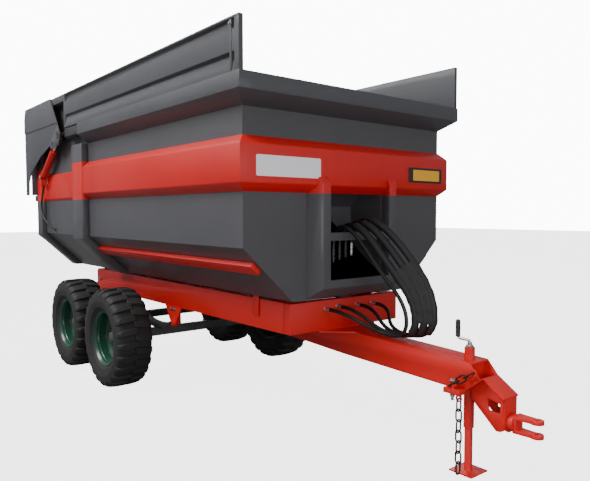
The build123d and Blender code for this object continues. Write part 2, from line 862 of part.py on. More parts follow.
# Tails of the side boards: a thin inner plate under a rail, which leave room for the tailgate rams.
with BuildPart() as board_tails:
    for side in sides.values():
        for out_y, low_z in ((board_y, board_rail_z), (half_width + 32, rim_top_z + seat_gap)):
            block(
                (board_rear_x, board_step_x - seat_gap),
                (side * (half_width - sheet), side * out_y),
                (low_z, board_top_z),
            )
write(board_tails.part, "board_tails")

# Lugs under the tub that turn on the tipping shaft.
tip_lug_y = (505.0, 527.0)
with BuildPart() as tip_lugs:
    for side in sides.values():
        side_plate(
            [
                (tip_x - 110, floor_z),
                (tip_x + 110, floor_z),
                (tip_x + 60, tip_z - 50),
                (tip_x - 60, tip_z - 50),
            ],
            (side * tip_lug_y[0], side * tip_lug_y[1]),
        )
        round_y(tip_x, tip_z, 60 + 2 * running_gap, (side * tip_lug_y[0], side * tip_lug_y[1]), mode=Mode.SUBTRACT)
write(tip_lugs.part, "tip_lugs")

# Plates under the tub that guide it down beside the rails.
with BuildPart() as tub_guides:
    for side in sides.values():
        block(
            (front_x - 590, front_x - 510),
            (side * (rail_half_width + 5), side * (rail_half_width + 17)),
            (rail_bottom_z + 110, floor_z),
        )
write(tub_guides.part, "tub_guides")

# Lugs in the recess that carry the ram's trunnions.
barrel_diameter = 116.0
trunnion_diameter = 40.0
trunnion_lug_y = (66.0, 80.0)
with BuildPart() as trunnion_lugs:
    for side in sides.values():
        block(
            (recess_back_x + sheet, ram_x + 40),
            (side * trunnion_lug_y[0], side * trunnion_lug_y[1]),
            (ram_top_z - 45, ram_top_z + 45),
        )
        round_y(
            ram_x,
            ram_top_z,
            trunnion_diameter + 2 * running_gap,
            (side * trunnion_lug_y[0], side * trunnion_lug_y[1]),
            mode=Mode.SUBTRACT,
        )
write(trunnion_lugs.part, "trunnion_lugs")

# Telescopic ram: the barrel hangs on the tub, its stages come out at the bottom.
barrel_bottom_z = 1070.0
barrel_top_z = 1740.0
stage_count = 5
stage_step = 14.0
stage_show = 10.0
stage_outside = [barrel_diameter - 12 - stage_step * stage for stage in range(stage_count)]
with BuildPart() as ram_barrel:
    round_z(ram_x, 0, barrel_diameter, (barrel_bottom_z, barrel_top_z))
    round_y(ram_x, ram_top_z, trunnion_diameter, (-trunnion_lug_y[1] - 6, trunnion_lug_y[1] + 6))
    round_z(ram_x, 0, stage_outside[0] + 2 * running_gap, (barrel_bottom_z, barrel_top_z - 14), mode=Mode.SUBTRACT)
write(ram_barrel.part, "ram_barrel")
for stage, outside in enumerate(stage_outside):
    low = barrel_bottom_z - stage_show * (stage + 1)
    high = barrel_top_z - 24 - 4 * stage
    with BuildPart() as ram_stage:
        if stage < stage_count - 1:
            round_z(ram_x, 0, outside, (low, high))
            round_z(ram_x, 0, stage_outside[stage + 1] + 2 * running_gap, (low, high), mode=Mode.SUBTRACT)
        else:
            round_z(ram_x, 0, outside, (ram_foot_z, high))
            round_y(ram_x, ram_foot_z, 50, (-25, 25))
    write(ram_stage.part, f"ram_stage_{stage + 1}")

# Pivots of the tailgate: a box behind the rim, a cheek on the wall and the shaft.
pivot_diameter = 50.0
pivot_low_z = rim_bottom_z + 12.0
pivot_high_z = rim_top_z - sheet - 8.0
cheek_y = half_width + 37.0
ram_eye_clear_x = gate_x + 190.0
with BuildPart() as pivots:
    for side in sides.values():
        block((ram_eye_clear_x, rim_rear_x), (side * half_width, side * (half_width + 110)), (pivot_low_z, pivot_high_z))
        block((gate_x - 80, ram_eye_clear_x), (side * half_width, side * cheek_y), (pivot_low_z, rim_top_z - sheet))
        round_y(gate_x, gate_z, pivot_diameter, (side * half_width, side * 1292))
write(pivots.part, "gate_pivots")

# Tailgate rams: base bracket on the tub, barrel and rod.
rod_pin_x = gate_x - 210.0
rod_pin_z = gate_z - 90.0
base_pin_x = front_x - 4660.0
base_pin_z = 2360.0
gate_ram_y = 1220.0
gate_ram_length = hypot(rod_pin_x - base_pin_x, rod_pin_z - base_pin_z)
gate_ram_angle = degrees(atan2(rod_pin_z - base_pin_z, rod_pin_x - base_pin_x))
gate_barrel_diameter = 80.0
gate_rod_diameter = 36.0
base_pin_diameter = 30.0
eye_half = 15.0
barrel_length = 560.0
with BuildPart() as brackets:
    for side in sides.values():
        block(
            (base_pin_x - 90, base_pin_x + 90),
            (side * (half_width + rear_belt_out), side * (gate_ram_y - 50)),
            (base_pin_z - 150, base_pin_z + 62),
        )
        for near, far in ((-50, -22), (22, 32)):
            block(
                (base_pin_x - 45, base_pin_x + 24),
                (side * (gate_ram_y + near), side * (gate_ram_y + far)),
                (base_pin_z - 110, base_pin_z + 24),
            )
        block(
            (base_pin_x - 45, base_pin_x + 24),
            (side * (gate_ram_y - 50), side * (gate_ram_y + 32)),
            (base_pin_z - 110, base_pin_z - 70),
        )
        round_y(base_pin_x, base_pin_z, base_pin_diameter, (side * (gate_ram_y - 22), side * (gate_ram_y + 38)))
write(brackets.part, "gate_ram_brackets")

for name, side in sides.items():
    along = Plane(
        origin=(base_pin_x, side * gate_ram_y, base_pin_z),
        x_dir=(0, 1, 0),
        z_dir=(cos(radians(gate_ram_angle)), 0, sin(radians(gate_ram_angle))),
    )
    with BuildPart() as barrel:
        round_y(base_pin_x, base_pin_z, 64, (side * (gate_ram_y - eye_half), side * (gate_ram_y + eye_half)))
        with BuildSketch(along.offset(45)):
            Circle(gate_barrel_diameter / 2)
        extrude(amount=barrel_length - 45)
        with BuildSketch(along.offset(20)):
            Rectangle(30, 50)
        extrude(amount=40)
        round_y(
            base_pin_x,
            base_pin_z,
            base_pin_diameter + 2 * running_gap,
            (side * (gate_ram_y - 30), side * (gate_ram_y + 30)),
            mode=Mode.SUBTRACT,
        )
        with BuildSketch(along.offset(80)):
            Circle(gate_rod_diameter / 2 + running_gap)
        extrude(amount=barrel_length, mode=Mode.SUBTRACT)
    write(barrel.part, f"gate_ram_barrel_{name}")
    with BuildPart() as rod:
        with BuildSketch(along.offset(110)):
            Circle(gate_rod_diameter / 2)
        extrude(amount=gate_ram_length - 110 - 10)
        round_y(rod_pin_x, rod_pin_z, 60, (side * (gate_ram_y - eye_half), side * (gate_ram_y + eye_half)))
    write(rod.part, f"gate_ram_rod_{name}")

# Tailgate: panel behind the tub, its frame, and the wings that reach forward to the pivots.
gate_gap = 6.0
gate_rear_x = front_x - 5250.0
gate_face_x = body_rear_x - gate_gap
wing_y = 1272.0
wing_thickness = 8.0
wing_foot_z = 2130.0
gate_outline = [
    # Y, Z of the right half
    (floor_half_width + 30, floor_z - 6),
    (half_width + 62, fold_z - 30),
    (half_width + 62, wing_foot_z),
    (wing_y, wing_foot_z),
    (wing_y, board_top_z),
]
with BuildPart() as gate_panel:
    section_bar(
        [(-y, z) for y, z in gate_outline] + gate_outline[::-1],
        (gate_face_x - sheet, gate_face_x),
    )
write(gate_panel.part, "gate_panel")

gate_rib_table = [
    # middle Z, half width
    (1225.0, 700.0),
    (1640.0, 1150.0),
    (2090.0, 1190.0),
    (2560.0, wing_y),
    (2980.0, wing_y),
    (3260.0, wing_y),
]
rib_depth = 150.0
rib_x = (gate_face_x - sheet - rib_depth, gate_face_x - sheet)
with BuildPart() as gate_frame:
    for z, half in gate_rib_table:
        block(rib_x, (-half, half), (z - 40, z + 40))
    for y in (-640, 0, 640):
        block(rib_x, (y - 35, y + 35), (gate_rib_table[0][0], gate_rib_table[-1][0]))
write(gate_frame.part, "gate_frame")

wing_step_z = 2980.0
wing_upper = [
    (front_x - 3850, wing_step_z),
    (front_x - 4100, board_top_z),
    (front_x - 5190, board_top_z),
    (gate_rear_x, board_top_z - 130),
    (gate_rear_x, wing_step_z),
]
wing_lower = [
    (front_x - 3850, wing_step_z),
    (gate_rear_x, wing_step_z),
    (gate_rear_x, wing_foot_z),
    (gate_rear_x + 140, wing_foot_z),
    (gate_rear_x + 150, 2300),
    (gate_rear_x + 270, 2440),
    (gate_rear_x + 700, 2620),
    (rod_pin_x - 90, rod_pin_z - 30),
    (rod_pin_x - 50, rod_pin_z - 75),
    (rod_pin_x + 60, rod_pin_z - 70),
    (gate_x + 60, gate_z - 100),
    (gate_x + 90, gate_z),
]
fork_web = 115.0
web_dx = cos(radians(gate_ram_angle)) * fork_web
web_dz = sin(radians(gate_ram_angle)) * fork_web
with BuildPart() as wings:
    for side in sides.values():
        side_plate(wing_upper, (side * wing_y, side * (wing_y + 2 * wing_thickness)))
        side_plate(wing_lower, (side * wing_y, side * (wing_y + wing_thickness)))
        round_y(gate_x, gate_z, 100, (side * wing_y, side * (wing_y + 18)))
        round_y(rod_pin_x, rod_pin_z, 46, (side * (wing_y + wing_thickness), side * (wing_y + 18)))
        round_y(
            gate_x,
            gate_z,
            pivot_diameter + 2 * running_gap,
            (side * (wing_y - 1), side * (wing_y + 20)),
            mode=Mode.SUBTRACT,
        )
        for near, far in ((gate_ram_y - 32, gate_ram_y - 23), (gate_ram_y + 23, gate_ram_y + 32)):
            side_plate(
                [
                    (rod_pin_x - 28, rod_pin_z + 5),
                    (rod_pin_x - 5, rod_pin_z + 28),
                    (rod_pin_x + web_dx, rod_pin_z + web_dz + 24),
                    (rod_pin_x + web_dx + 12, rod_pin_z + web_dz - 20),
                    (rod_pin_x + 20, rod_pin_z - 26),
                    (rod_pin_x - 18, rod_pin_z - 26),
                ],
                (side * near, side * far),
            )
        side_plate(
            [
                (rod_pin_x + web_dx, rod_pin_z + web_dz + 24),
                (rod_pin_x + web_dx - 10, rod_pin_z + web_dz + 18),
                (rod_pin_x + web_dx + 2, rod_pin_z + web_dz - 24),
                (rod_pin_x + web_dx + 12, rod_pin_z + web_dz - 20),
            ],
            (side * (gate_ram_y - 32), side * wing_y),
        )
write(wings.part, "gate_wings")

# Hydraulic hoses: unions on the front crossmember, the loops over the recess's bar, and one to a tailgate ram.
hose_diameter = 32.0
gate_hose_diameter = 20.0
union_diameter = 36.0
union_length = 62.0
bend_share = 0.45  # of the shorter run, taken up by each bend


def place(points):
    """Points in millimetres from ones whose X is counted from the front wall."""
    return [(front_x + x, y, z) for x, y, z in points]


hose_table = {
    # Y and Z of the union, Y on the drawbar, Y over the bar, how far inside the outermost loop
    "hose_front_1": (-263.0, 1064.0, -60.0, -230.0, 3.0),
    "hose_front_2": (-124.0, 1076.0, -20.0, -160.0, 2.0),
    "hose_front_3": (100.0, 1070.0, 20.0, -90.0, 1.0),
    "hose_front_4": (298.0, 1063.0, 60.0, -20.0, 0.0),
}
hose_end = 220.0  # of each hose that hangs behind the bar
hose_routes = {}
for name, (union_y, union_z, low_y, bar_y, step) in hose_table.items():
    hose_routes[name] = place(
        [
            (-70 + union_length + seat_gap, union_y, union_z),
            (150, union_y, union_z),
            (385 - 8 * step, low_y, 900),
            (830 - 54 * step, low_y, 900),
            (850 - 60 * step, low_y, 1225 - 24 * step),
            (612 - 58 * step, (low_y + bar_y) / 2, 1570 - 44 * step),
            (305 - 30 * step, bar_y, 1835 - 20 * step),
            (-5, bar_y, 1820 - 17 * step),
            (-5, bar_y, 1820 - 17 * step - hose_end),
        ]
    )
hose_routes["hose_gate_right"] = place(
    [
        (-4660, -1212, 2244),
        (-4790, -1225, 2040),
        (-4730, -1215, 1840),
        (-4560, -1190, 1720),
        (-4380, -1163, 1672),
    ]
)


def bend_radii(points):
    """Bend radius at each inner point of a route, from its shorter run and the turn there."""
    radii = []
    for before, corner, after in zip(points, points[1:], points[2:]):
        come = Vector(*corner) - Vector(*before)
        go = Vector(*after) - Vector(*corner)
        turn = radians(come.get_angle(go))
        radii.append(bend_share * min(come.length, go.length) / tan(turn / 2))
    return radii


with BuildPart() as unions:
    for union_y, union_z, *_ in hose_table.values():
        with Locations(Location((cross_front_x + union_length / 2, union_y, union_z), (0, 90, 0))):
            Cylinder(union_diameter / 2, union_length)
write(unions.part, "couplers_front")

for name, points in hose_routes.items():
    diameter = gate_hose_diameter if "gate" in name else hose_diameter
    radii = bend_radii(points)
    with BuildPart() as hose:
        with BuildLine() as route:
            FilletPolyline(*points, radius=radii)
        path = route.wires()[0]
        with BuildSketch(Plane(origin=path @ 0, z_dir=path % 0)) as section:
            Circle(diameter / 2)
        sweep(section.sketch, path=path)
    full = pi * diameter**2 / 4 * path.length
    rounded = [round(radius) for radius in radii]
    print(name, "radii", rounded, "length", round(path.length, 1), "volume share", round(hose.part.volume / full, 4))
    write(hose.part, name)
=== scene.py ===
"""Looks of a tandem-axle farm tipping trailer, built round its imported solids."""

from __future__ import annotations

import json
import logging
import math
from collections.abc import Iterator
from contextlib import contextmanager
from dataclasses import dataclass, field, replace
from enum import Enum

import bmesh
import bpy
from mathutils import Matrix, Vector

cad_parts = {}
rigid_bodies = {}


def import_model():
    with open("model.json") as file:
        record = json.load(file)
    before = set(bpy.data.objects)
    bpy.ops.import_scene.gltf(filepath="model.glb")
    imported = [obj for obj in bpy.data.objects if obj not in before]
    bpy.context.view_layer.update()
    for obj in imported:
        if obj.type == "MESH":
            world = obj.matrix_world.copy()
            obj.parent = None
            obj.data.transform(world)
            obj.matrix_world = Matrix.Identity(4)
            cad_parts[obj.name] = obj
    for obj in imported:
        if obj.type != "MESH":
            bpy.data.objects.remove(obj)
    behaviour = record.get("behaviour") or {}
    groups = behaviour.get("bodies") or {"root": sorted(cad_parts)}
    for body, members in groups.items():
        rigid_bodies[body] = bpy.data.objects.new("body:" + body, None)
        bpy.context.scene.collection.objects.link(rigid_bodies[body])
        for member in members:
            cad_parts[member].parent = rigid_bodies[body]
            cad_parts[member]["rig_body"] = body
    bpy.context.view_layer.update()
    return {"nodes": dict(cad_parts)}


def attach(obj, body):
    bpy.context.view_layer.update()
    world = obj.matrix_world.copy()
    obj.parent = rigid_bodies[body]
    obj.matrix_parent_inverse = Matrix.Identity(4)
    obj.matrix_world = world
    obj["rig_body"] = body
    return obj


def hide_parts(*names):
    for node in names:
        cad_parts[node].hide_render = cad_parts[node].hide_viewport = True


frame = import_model()

log = logging.getLogger("trailer")

Mesh = bpy.types.Mesh
Socket = bpy.types.NodeSocket
Colour = tuple[float, float, float]
Point = tuple[float, float, float]

# Places shared with the solids, in metres.
FRONT_X = 1.725
HUB_Z = 0.536
AXLE_X = {"front": FRONT_X - 2.6, "rear": FRONT_X - 3.8}
SIDES = {"right": -1.0, "left": 1.0}

AXIS_GAP = 0.0002  # radius at which a turned profile stops short of its axis
HARD_ANGLE = 34.0  # degrees of turn past which an edge stays hard


class Axis(Enum):
    """Axis about which a ring of like pieces is turned, as a unit vector."""

    X = (1.0, 0.0, 0.0)
    Y = (0.0, 1.0, 0.0)
    Z = (0.0, 0.0, 1.0)


class Band(Enum):
    """How a paint is laid on a piece."""

    PLAIN = "one colour all over"
    BELT = "the belt's colour between the belt's edges"


@dataclass
class Graph:
    """A node tree with short calls to place and join its nodes."""

    tree: bpy.types.NodeTree

    def add(self, kind: str, inputs: dict | None = None, **settings: object) -> bpy.types.Node:
        """Place a node.

        Args:
            kind: The node's type name.
            inputs: Sockets to link or values to store, by the input's name or number.
            settings: Attributes of the node to set.

        Returns:
            The new node.
        """
        node = self.tree.nodes.new(kind)
        for name, value in settings.items():
            setattr(node, name, value)
        self.fill(node, inputs or {})
        return node

    def fill(self, node: bpy.types.Node, inputs: dict) -> None:
        """Give a node's inputs their links or plain values.

        Args:
            node: The node.
            inputs: Sockets to link or values to store, by the input's name or number.
        """
        for label, value in inputs.items():
            self.feed(node.inputs[label], value)

    def join(self, source: Socket, target: Socket) -> None:
        """Link an output to an input."""
        self.tree.links.new(source, target)

    def feed(self, target: Socket, value: object) -> None:
        """Give an input a link or a plain value.

        Args:
            target: The input socket.
            value: An output socket to link, or the value to store.
        """
        if isinstance(value, Socket):
            self.join(value, target)
        else:
            target.default_value = value

    def math(self, operation: str, *values: object, clamp: bool = False) -> Socket:
        """Place a math node.

        Args:
            operation: The operation's name.
            values: Its inputs in order, sockets or numbers.
            clamp: Whether the result is held between 0 and 1.

        Returns:
            The node's result.
        """
        node = self.add("ShaderNodeMath", dict(enumerate(values)), operation=operation, use_clamp=clamp)
        return node.outputs[0]

    def object_place(self) -> Socket:
        """The place in object coordinates."""
        return self.add("ShaderNodeTexCoord").outputs["Object"]

    def noise(self, vector: Socket, scale: object, detail: float = 3.0) -> Socket:
        """Place a noise texture and return its value."""
        given = {"Vector": vector, "Scale": scale, "Detail": detail}
        return self.add("ShaderNodeTexNoise", given).outputs["Fac"]

    def spread(
        self, value: object, low: float, high: float, to_low: object = 0.0, to_high: object = 1.0
    ) -> Socket:
        """Map a value's range onto another, held at its ends.

        Args:
            value: The value to map.
            low: Where the source range starts.
            high: Where the source range ends.
            to_low: What the start becomes.
            to_high: What the end becomes.

        Returns:
            The mapped value's socket.
        """
        given = {"Value": value, "From Min": low, "From Max": high, "To Min": to_low, "To Max": to_high}
        return self.add("ShaderNodeMapRange", given).outputs["Result"]

    def mix(self, share: object, first: object, second: object) -> Socket:
        """Mix two colours.

        Args:
            share: How much of the second colour there is.
            first: The first colour, a socket or four numbers.
            second: The second colour.

        Returns:
            The mixed colour's socket.
        """
        # Inputs 0, 6 and 7 are the factor and the two colours, and output 2 is their mix.
        return self.add("ShaderNodeMix", {0: share, 6: first, 7: second}, data_type="RGBA").outputs[2]


def shader_group(
    name: str, inputs: dict[str, tuple[str, object]], outputs: dict[str, str]
) -> tuple[Graph, dict, object]:
    """Start a shader node group.

    Args:
        name: The group's name.
        inputs: Each input's name with its kind and default value.
        outputs: Each output's name with its kind.

    Returns:
        The group's graph, its inputs by name and its output node.
    """
    tree = bpy.data.node_groups.new(name, "ShaderNodeTree")
    kinds = {"float": "NodeSocketFloat", "colour": "NodeSocketColor"}
    for label, (kind, value) in inputs.items():
        socket = tree.interface.new_socket(name=label, in_out="INPUT", socket_type=kinds[kind])
        socket.default_value = value
    for label, kind in outputs.items():
        tree.interface.new_socket(name=label, in_out="OUTPUT", socket_type=kinds[kind])
    graph = Graph(tree)
    entry = graph.add("NodeGroupInput")
    return graph, {socket.name: socket for socket in entry.outputs}, graph.add("NodeGroupOutput")


def weather_group() -> bpy.types.NodeTree:
    """Road dust that gathers low down and on what faces up, with a faint change of tone.

    Returns:
        The group, which puts out a colour and the share of dust.
    """
    graph, given, out = shader_group(
        "weather",
        {
            "Colour": ("colour", (0.5, 0.5, 0.5, 1.0)),
            "Dust Colour": ("colour", (0.42, 0.38, 0.33, 1.0)),
            "Dust": ("float", 0.3),
            "Low": ("float", 0.2),
            "High": ("float", 1.6),
        },
        {"Colour": "colour", "Dust": "float"},
    )
    place = graph.object_place()
    split = graph.add("ShaderNodeSeparateXYZ", {0: place})
    patches = graph.spread(graph.noise(place, 2.2, 5.0), 0.38, 0.66)
    specks = graph.spread(graph.noise(place, 38.0, 4.0), 0.45, 0.7)
    span = {"Value": split.outputs[2], "From Max": given["Low"], "From Min": given["High"]}
    height = graph.add("ShaderNodeMapRange", span)
    facing = graph.add("ShaderNodeSeparateXYZ", {0: graph.add("ShaderNodeNewGeometry").outputs["Normal"]})
    upward = graph.spread(facing.outputs[2], 0.55, 1.0, 0.0, 0.45)
    cover = graph.math("MAXIMUM", height.outputs["Result"], upward)
    texture = graph.math("ADD", graph.math("MULTIPLY", patches, 0.75), graph.math("MULTIPLY", specks, 0.25))
    dust = graph.math("MULTIPLY", graph.math("MULTIPLY", cover, texture), given["Dust"], clamp=True)
    tone = graph.spread(graph.noise(place, 0.9, 2.0), 0.3, 0.7, 0.93, 1.07)
    toned = graph.add("ShaderNodeHueSaturation", {"Color": given["Colour"], "Value": tone})
    colour = graph.mix(dust, toned.outputs["Color"], given["Dust Colour"])
    graph.fill(out, {"Colour": colour, "Dust": dust})
    return graph.tree


def skin_group() -> bpy.types.NodeTree:
    """Height of a painted or moulded skin: fine peel over slow waves of the sheet.

    Returns:
        The group, which puts out a height.
    """
    graph, given, out = shader_group(
        "skin",
        {
            "Peel": ("float", 260.0),
            "Peel Share": ("float", 0.3),
            "Wave": ("float", 2.4),
            "Wave Share": ("float", 0.7),
        },
        {"Height": "float"},
    )
    place = graph.object_place()
    fine = graph.math("MULTIPLY", graph.noise(place, given["Peel"], 2.0), given["Peel Share"])
    slow = graph.math("MULTIPLY", graph.noise(place, given["Wave"], 1.0), given["Wave Share"])
    graph.join(graph.math("ADD", fine, slow), out.inputs["Height"])
    return graph.tree


def chip_group() -> bpy.types.NodeTree:
    """Small chips and rubbed spots.

    Returns:
        The group, which puts out their mask.
    """
    graph, given, out = shader_group(
        "chips", {"Scale": ("float", 45.0), "Amount": ("float", 0.3)}, {"Mask": "float"}
    )
    place = graph.object_place()
    spots = graph.noise(place, given["Scale"], 6.0)
    level = graph.math("SUBTRACT", 0.74, graph.math("MULTIPLY", given["Amount"], 0.22))
    mask = graph.math("MULTIPLY", graph.math("SUBTRACT", spots, level), 18.0, clamp=True)
    graph.join(mask, out.inputs["Mask"])
    return graph.tree


GROUPS = {"weather": weather_group(), "skin": skin_group(), "chips": chip_group()}


def rgba(colour: Colour) -> tuple[float, float, float, float]:
    """A colour with full alpha."""
    return (*colour, 1.0)


@dataclass(frozen=True)
class Finish:
    """A surface finish that can make its own material."""

    name: str
    slot: str
    colour: Colour
    roughness: float = 0.4
    metallic: float = 0.0
    dust: float = 0.25
    dust_colour: Colour = (0.36, 0.33, 0.29)
    peel: float = 260.0
    peel_share: float = 0.3
    wave: float = 2.4
    wave_share: float = 0.7
    bump: float = 0.02

    def start(self) -> tuple[Graph, bpy.types.Node, bpy.types.Material]:
        """Make the material with its shader and skin.

        Returns:
            The material's graph, its shader node and the material.
        """
        material = bpy.data.materials.new(self.name)
        material.use_nodes = True
        graph = Graph(material.node_tree)
        shader = material.node_tree.nodes["Principled BSDF"]
        given = {
            "Peel": self.peel,
            "Peel Share": self.peel_share,
            "Wave": self.wave,
            "Wave Share": self.wave_share,
        }
        skin = graph.add("ShaderNodeGroup", given, node_tree=GROUPS["skin"])
        relief = {"Strength": 1.0, "Distance": self.bump, "Height": skin.outputs["Height"]}
        bump = graph.add("ShaderNodeBump", relief)
        graph.fill(shader, {"Metallic": self.metallic, "Normal": bump.outputs["Normal"]})
        return graph, shader, material

    def weather(self, graph: Graph, colour: object) -> bpy.types.Node:
        """Lay dust over a colour.

        Args:
            graph: The material's graph.
            colour: The clean colour, a socket or four numbers.

        Returns:
            The weather group's node.
        """
        given = {"Colour": colour, "Dust": self.dust, "Dust Colour": rgba(self.dust_colour)}
        return graph.add("ShaderNodeGroup", given, node_tree=GROUPS["weather"])

    def material(self) -> bpy.types.Material:
        """Make the material.

        Returns:
            The finished material.
        """
        graph, shader, material = self.start()
        weather = self.weather(graph, rgba(self.colour))
        rough = graph.spread(weather.outputs["Dust"], 0.0, 1.0, self.roughness, 0.85)
        graph.fill(shader, {"Base Color": weather.outputs["Colour"], "Roughness": rough})
        return material


@dataclass(frozen=True)
class Paint(Finish):
    """Sprayed gloss paint on steel, with chips that show the primer where it is rubbed."""

    coat: float = 0.35
    chips: float = 0.1
    primer: Colour = (0.16, 0.09, 0.07)
    band: Band = Band.PLAIN
    band_colour: Colour = (0.6, 0.03, 0.015)
    band_z: tuple[float, float] = (2.045, 2.475)

    def material(self) -> bpy.types.Material:
        """Make the material.

        Returns:
            The finished material.
        """
        graph, shader, material = self.start()
        graph.fill(shader, {"Coat Weight": self.coat, "Coat Roughness": 0.12})
        clean: object = rgba(self.colour)
        if self.band is Band.BELT:
            split = graph.add("ShaderNodeSeparateXYZ", {0: graph.object_place()})
            above = graph.math("GREATER_THAN", split.outputs[2], self.band_z[0])
            below = graph.math("LESS_THAN", split.outputs[2], self.band_z[1])
            clean = graph.mix(graph.math("MULTIPLY", above, below), clean, rgba(self.band_colour))
        weather = self.weather(graph, clean)
        chips = graph.add("ShaderNodeGroup", {"Amount": self.chips}, node_tree=GROUPS["chips"])
        colour = graph.mix(chips.outputs["Mask"], weather.outputs["Colour"], rgba(self.primer))
        rubbed = graph.math("MULTIPLY", chips.outputs["Mask"], 0.5)
        worn = graph.math("MAXIMUM", weather.outputs["Dust"], rubbed)
        rough = graph.spread(worn, 0.0, 1.0, self.roughness, 0.85)
        graph.fill(shader, {"Base Color": colour, "Roughness": rough})
        return material

    def edge(self) -> bpy.types.Material:
        """The same paint where it is thin and rubbed, lighter and more chipped, for rounded edges; the
        lighter tone is partly wear and partly a painted highlight along the edges.

        Returns:
            The material for a piece's edges.
        """
        # Every edge is painted lighter: partly paint rubbed thin, partly a painted highlight along the folds.
        colour, band_colour = (
            tuple(min(1.0, c * 1.18 + 0.012) for c in base) for base in (self.colour, self.band_colour)
        )
        return replace(
            self,
            name=self.name + "_edge",
            colour=colour,
            band_colour=band_colour,
            chips=self.chips + 0.35,
            roughness=self.roughness * 0.8,
        ).material()


@dataclass(frozen=True)
class Steel(Finish):
    """Bare or plated steel with fine lines along one axis."""

    lines: Point = (3.0, 3.0, 220.0)

    def material(self) -> bpy.types.Material:
        """Make the material.

        Returns:
            The finished material.
        """
        graph, shader, material = self.start()
        mapping = graph.add("ShaderNodeMapping", {"Scale": self.lines, "Vector": graph.object_place()})
        streaks = graph.noise(mapping.outputs["Vector"], 1.0, 4.0)
        weather = self.weather(graph, rgba(self.colour))
        dark = tuple(c * 0.72 for c in self.colour)
        colour = graph.mix(graph.spread(streaks, 0.35, 0.7, 0.0, 0.5), weather.outputs["Colour"], rgba(dark))
        rough = graph.math("ADD", graph.math("MULTIPLY", streaks, 0.2), self.roughness - 0.1, clamp=True)
        graph.fill(shader, {"Base Color": colour, "Roughness": rough})
        return material


GREY = (0.070, 0.070, 0.077)
RED = (0.66, 0.004, 0.001)
PAINTS = {
    "red": Paint("red_gloss", "red_paint", RED, 0.40, dust=0.03, coat=0.12, bump=0.010),
    "grey": Paint(
        "grey_gloss", "grey_paint", GREY, 0.40, dust=0.07, coat=0.18, bump=0.014, primer=(0.12, 0.12, 0.12)
    ),
    "hoops": Paint(
        "hoop_gloss", "hoop_paint", GREY, 0.40, dust=0.07, coat=0.18, bump=0.010,
        band=Band.BELT, band_colour=RED,
    ),
    "dark": Paint("dark_satin", "dark_paint", (0.028, 0.028, 0.032), 0.5, dust=0.35, coat=0.1),
    "green": Paint(
        "green_gloss", "green_paint", (0.002, 0.052, 0.026), 0.34, dust=0.05, peel_share=0.15, bump=0.004
    ),
}
FINISHES = {
    "rubber": Finish(
        "tyre_rubber",
        "tyre_rubber",
        (0.0105, 0.0098, 0.0098),
        0.72,
        dust=0.035,
        peel=420.0,
        wave=30.0,
        wave_share=0.3,
        bump=0.0015,
    ),
    "pad": Finish("pad_rubber", "pad_rubber", (0.02, 0.02, 0.02), 0.75, dust=0.4, peel=300.0, bump=0.001),
    "hose": Finish(
        "hose_rubber", "hose_rubber", (0.005, 0.005, 0.0055), 0.46, dust=0.05, peel=600.0, bump=0.0006
    ),
    "sleeve": Finish(
        "woven_sleeve", "hose_rubber", (0.009, 0.009, 0.010), 0.62, dust=0.08, peel=900.0, bump=0.0016
    ),
    "grip": Finish(
        "grip_plastic", "pad_rubber", (0.013, 0.013, 0.013), 0.45, dust=0.1, peel=700.0, bump=0.0004
    ),
    "white": Finish("white_plate", "", (0.92, 0.92, 0.94), 0.30, dust=0.08, bump=0.001),
    "amber": Finish("amber_plate", "", (0.95, 0.46, 0.02), 0.3, dust=0.08, bump=0.001),
    "black": Finish("black_plate", "", (0.02, 0.018, 0.018), 0.35, dust=0.08, bump=0.001),
    "smoke": Finish("lamp_case", "", (0.016, 0.016, 0.017), 0.4, dust=0.3, bump=0.001),
    "lens_red": Finish("lens_red", "lamp_lens", (0.42, 0.008, 0.006), 0.12, dust=0.1, peel=120.0, bump=0.002),
    "lens_amber": Finish(
        "lens_amber", "lamp_lens", (0.75, 0.22, 0.01), 0.12, dust=0.1, peel=120.0, bump=0.002
    ),
    "zinc": Steel("zinc_plate", "bare_steel", (0.56, 0.57, 0.58), 0.34, metallic=1.0, dust=0.15, bump=0.0006),
    "chain": Steel(
        "chain_steel", "chain_steel", (0.036, 0.024, 0.019), 0.5, metallic=0.6, dust=0.1, bump=0.0015
    ),
    "chrome": Steel("ram_chrome", "ram_steel", (0.72, 0.72, 0.72), 0.2, metallic=1.0, dust=0.05, bump=0.0002),
}


@dataclass
class Shop:
    """Holds each material once it is made."""

    made: dict[str, bpy.types.Material] = field(default_factory=dict)

    def paint(self, name: str) -> tuple[bpy.types.Material, bpy.types.Material]:
        """The material of a paint and the one of its edges."""
        if name not in self.made:
            self.made[name] = PAINTS[name].material()
            self.made[name + "_edge"] = PAINTS[name].edge()
        return self.made[name], self.made[name + "_edge"]

    def finish(self, name: str) -> bpy.types.Material:
        """The material of a paint's faces or of a finish."""
        if name in PAINTS:
            return self.paint(name)[0]
        if name not in self.made:
            self.made[name] = FINISHES[name].material()
        return self.made[name]

    def slot(self, name: str) -> str:
        """The record's slot of a paint or finish."""
        return (PAINTS.get(name) or FINISHES[name]).slot


SHOP = Shop()


@contextmanager
def edited(mesh: Mesh) -> Iterator[bmesh.types.BMesh]:
    """Open a mesh for editing and write it back.

    Args:
        mesh: The mesh, changed in place.

    Yields:
        The mesh's editable shape.
    """
    shape = bmesh.new()
    shape.from_mesh(mesh)
    yield shape
    shape.to_mesh(mesh)
    shape.free()


def shown(name: str, data: bpy.types.ID) -> bpy.types.Object:
    """Make an object at the origin and put it in the scene.

    Args:
        name: The object's name.
        data: Its mesh, curve, camera or light.

    Returns:
        The object.
    """
    thing = bpy.data.objects.new(name, data)
    bpy.context.scene.collection.objects.link(thing)
    return thing


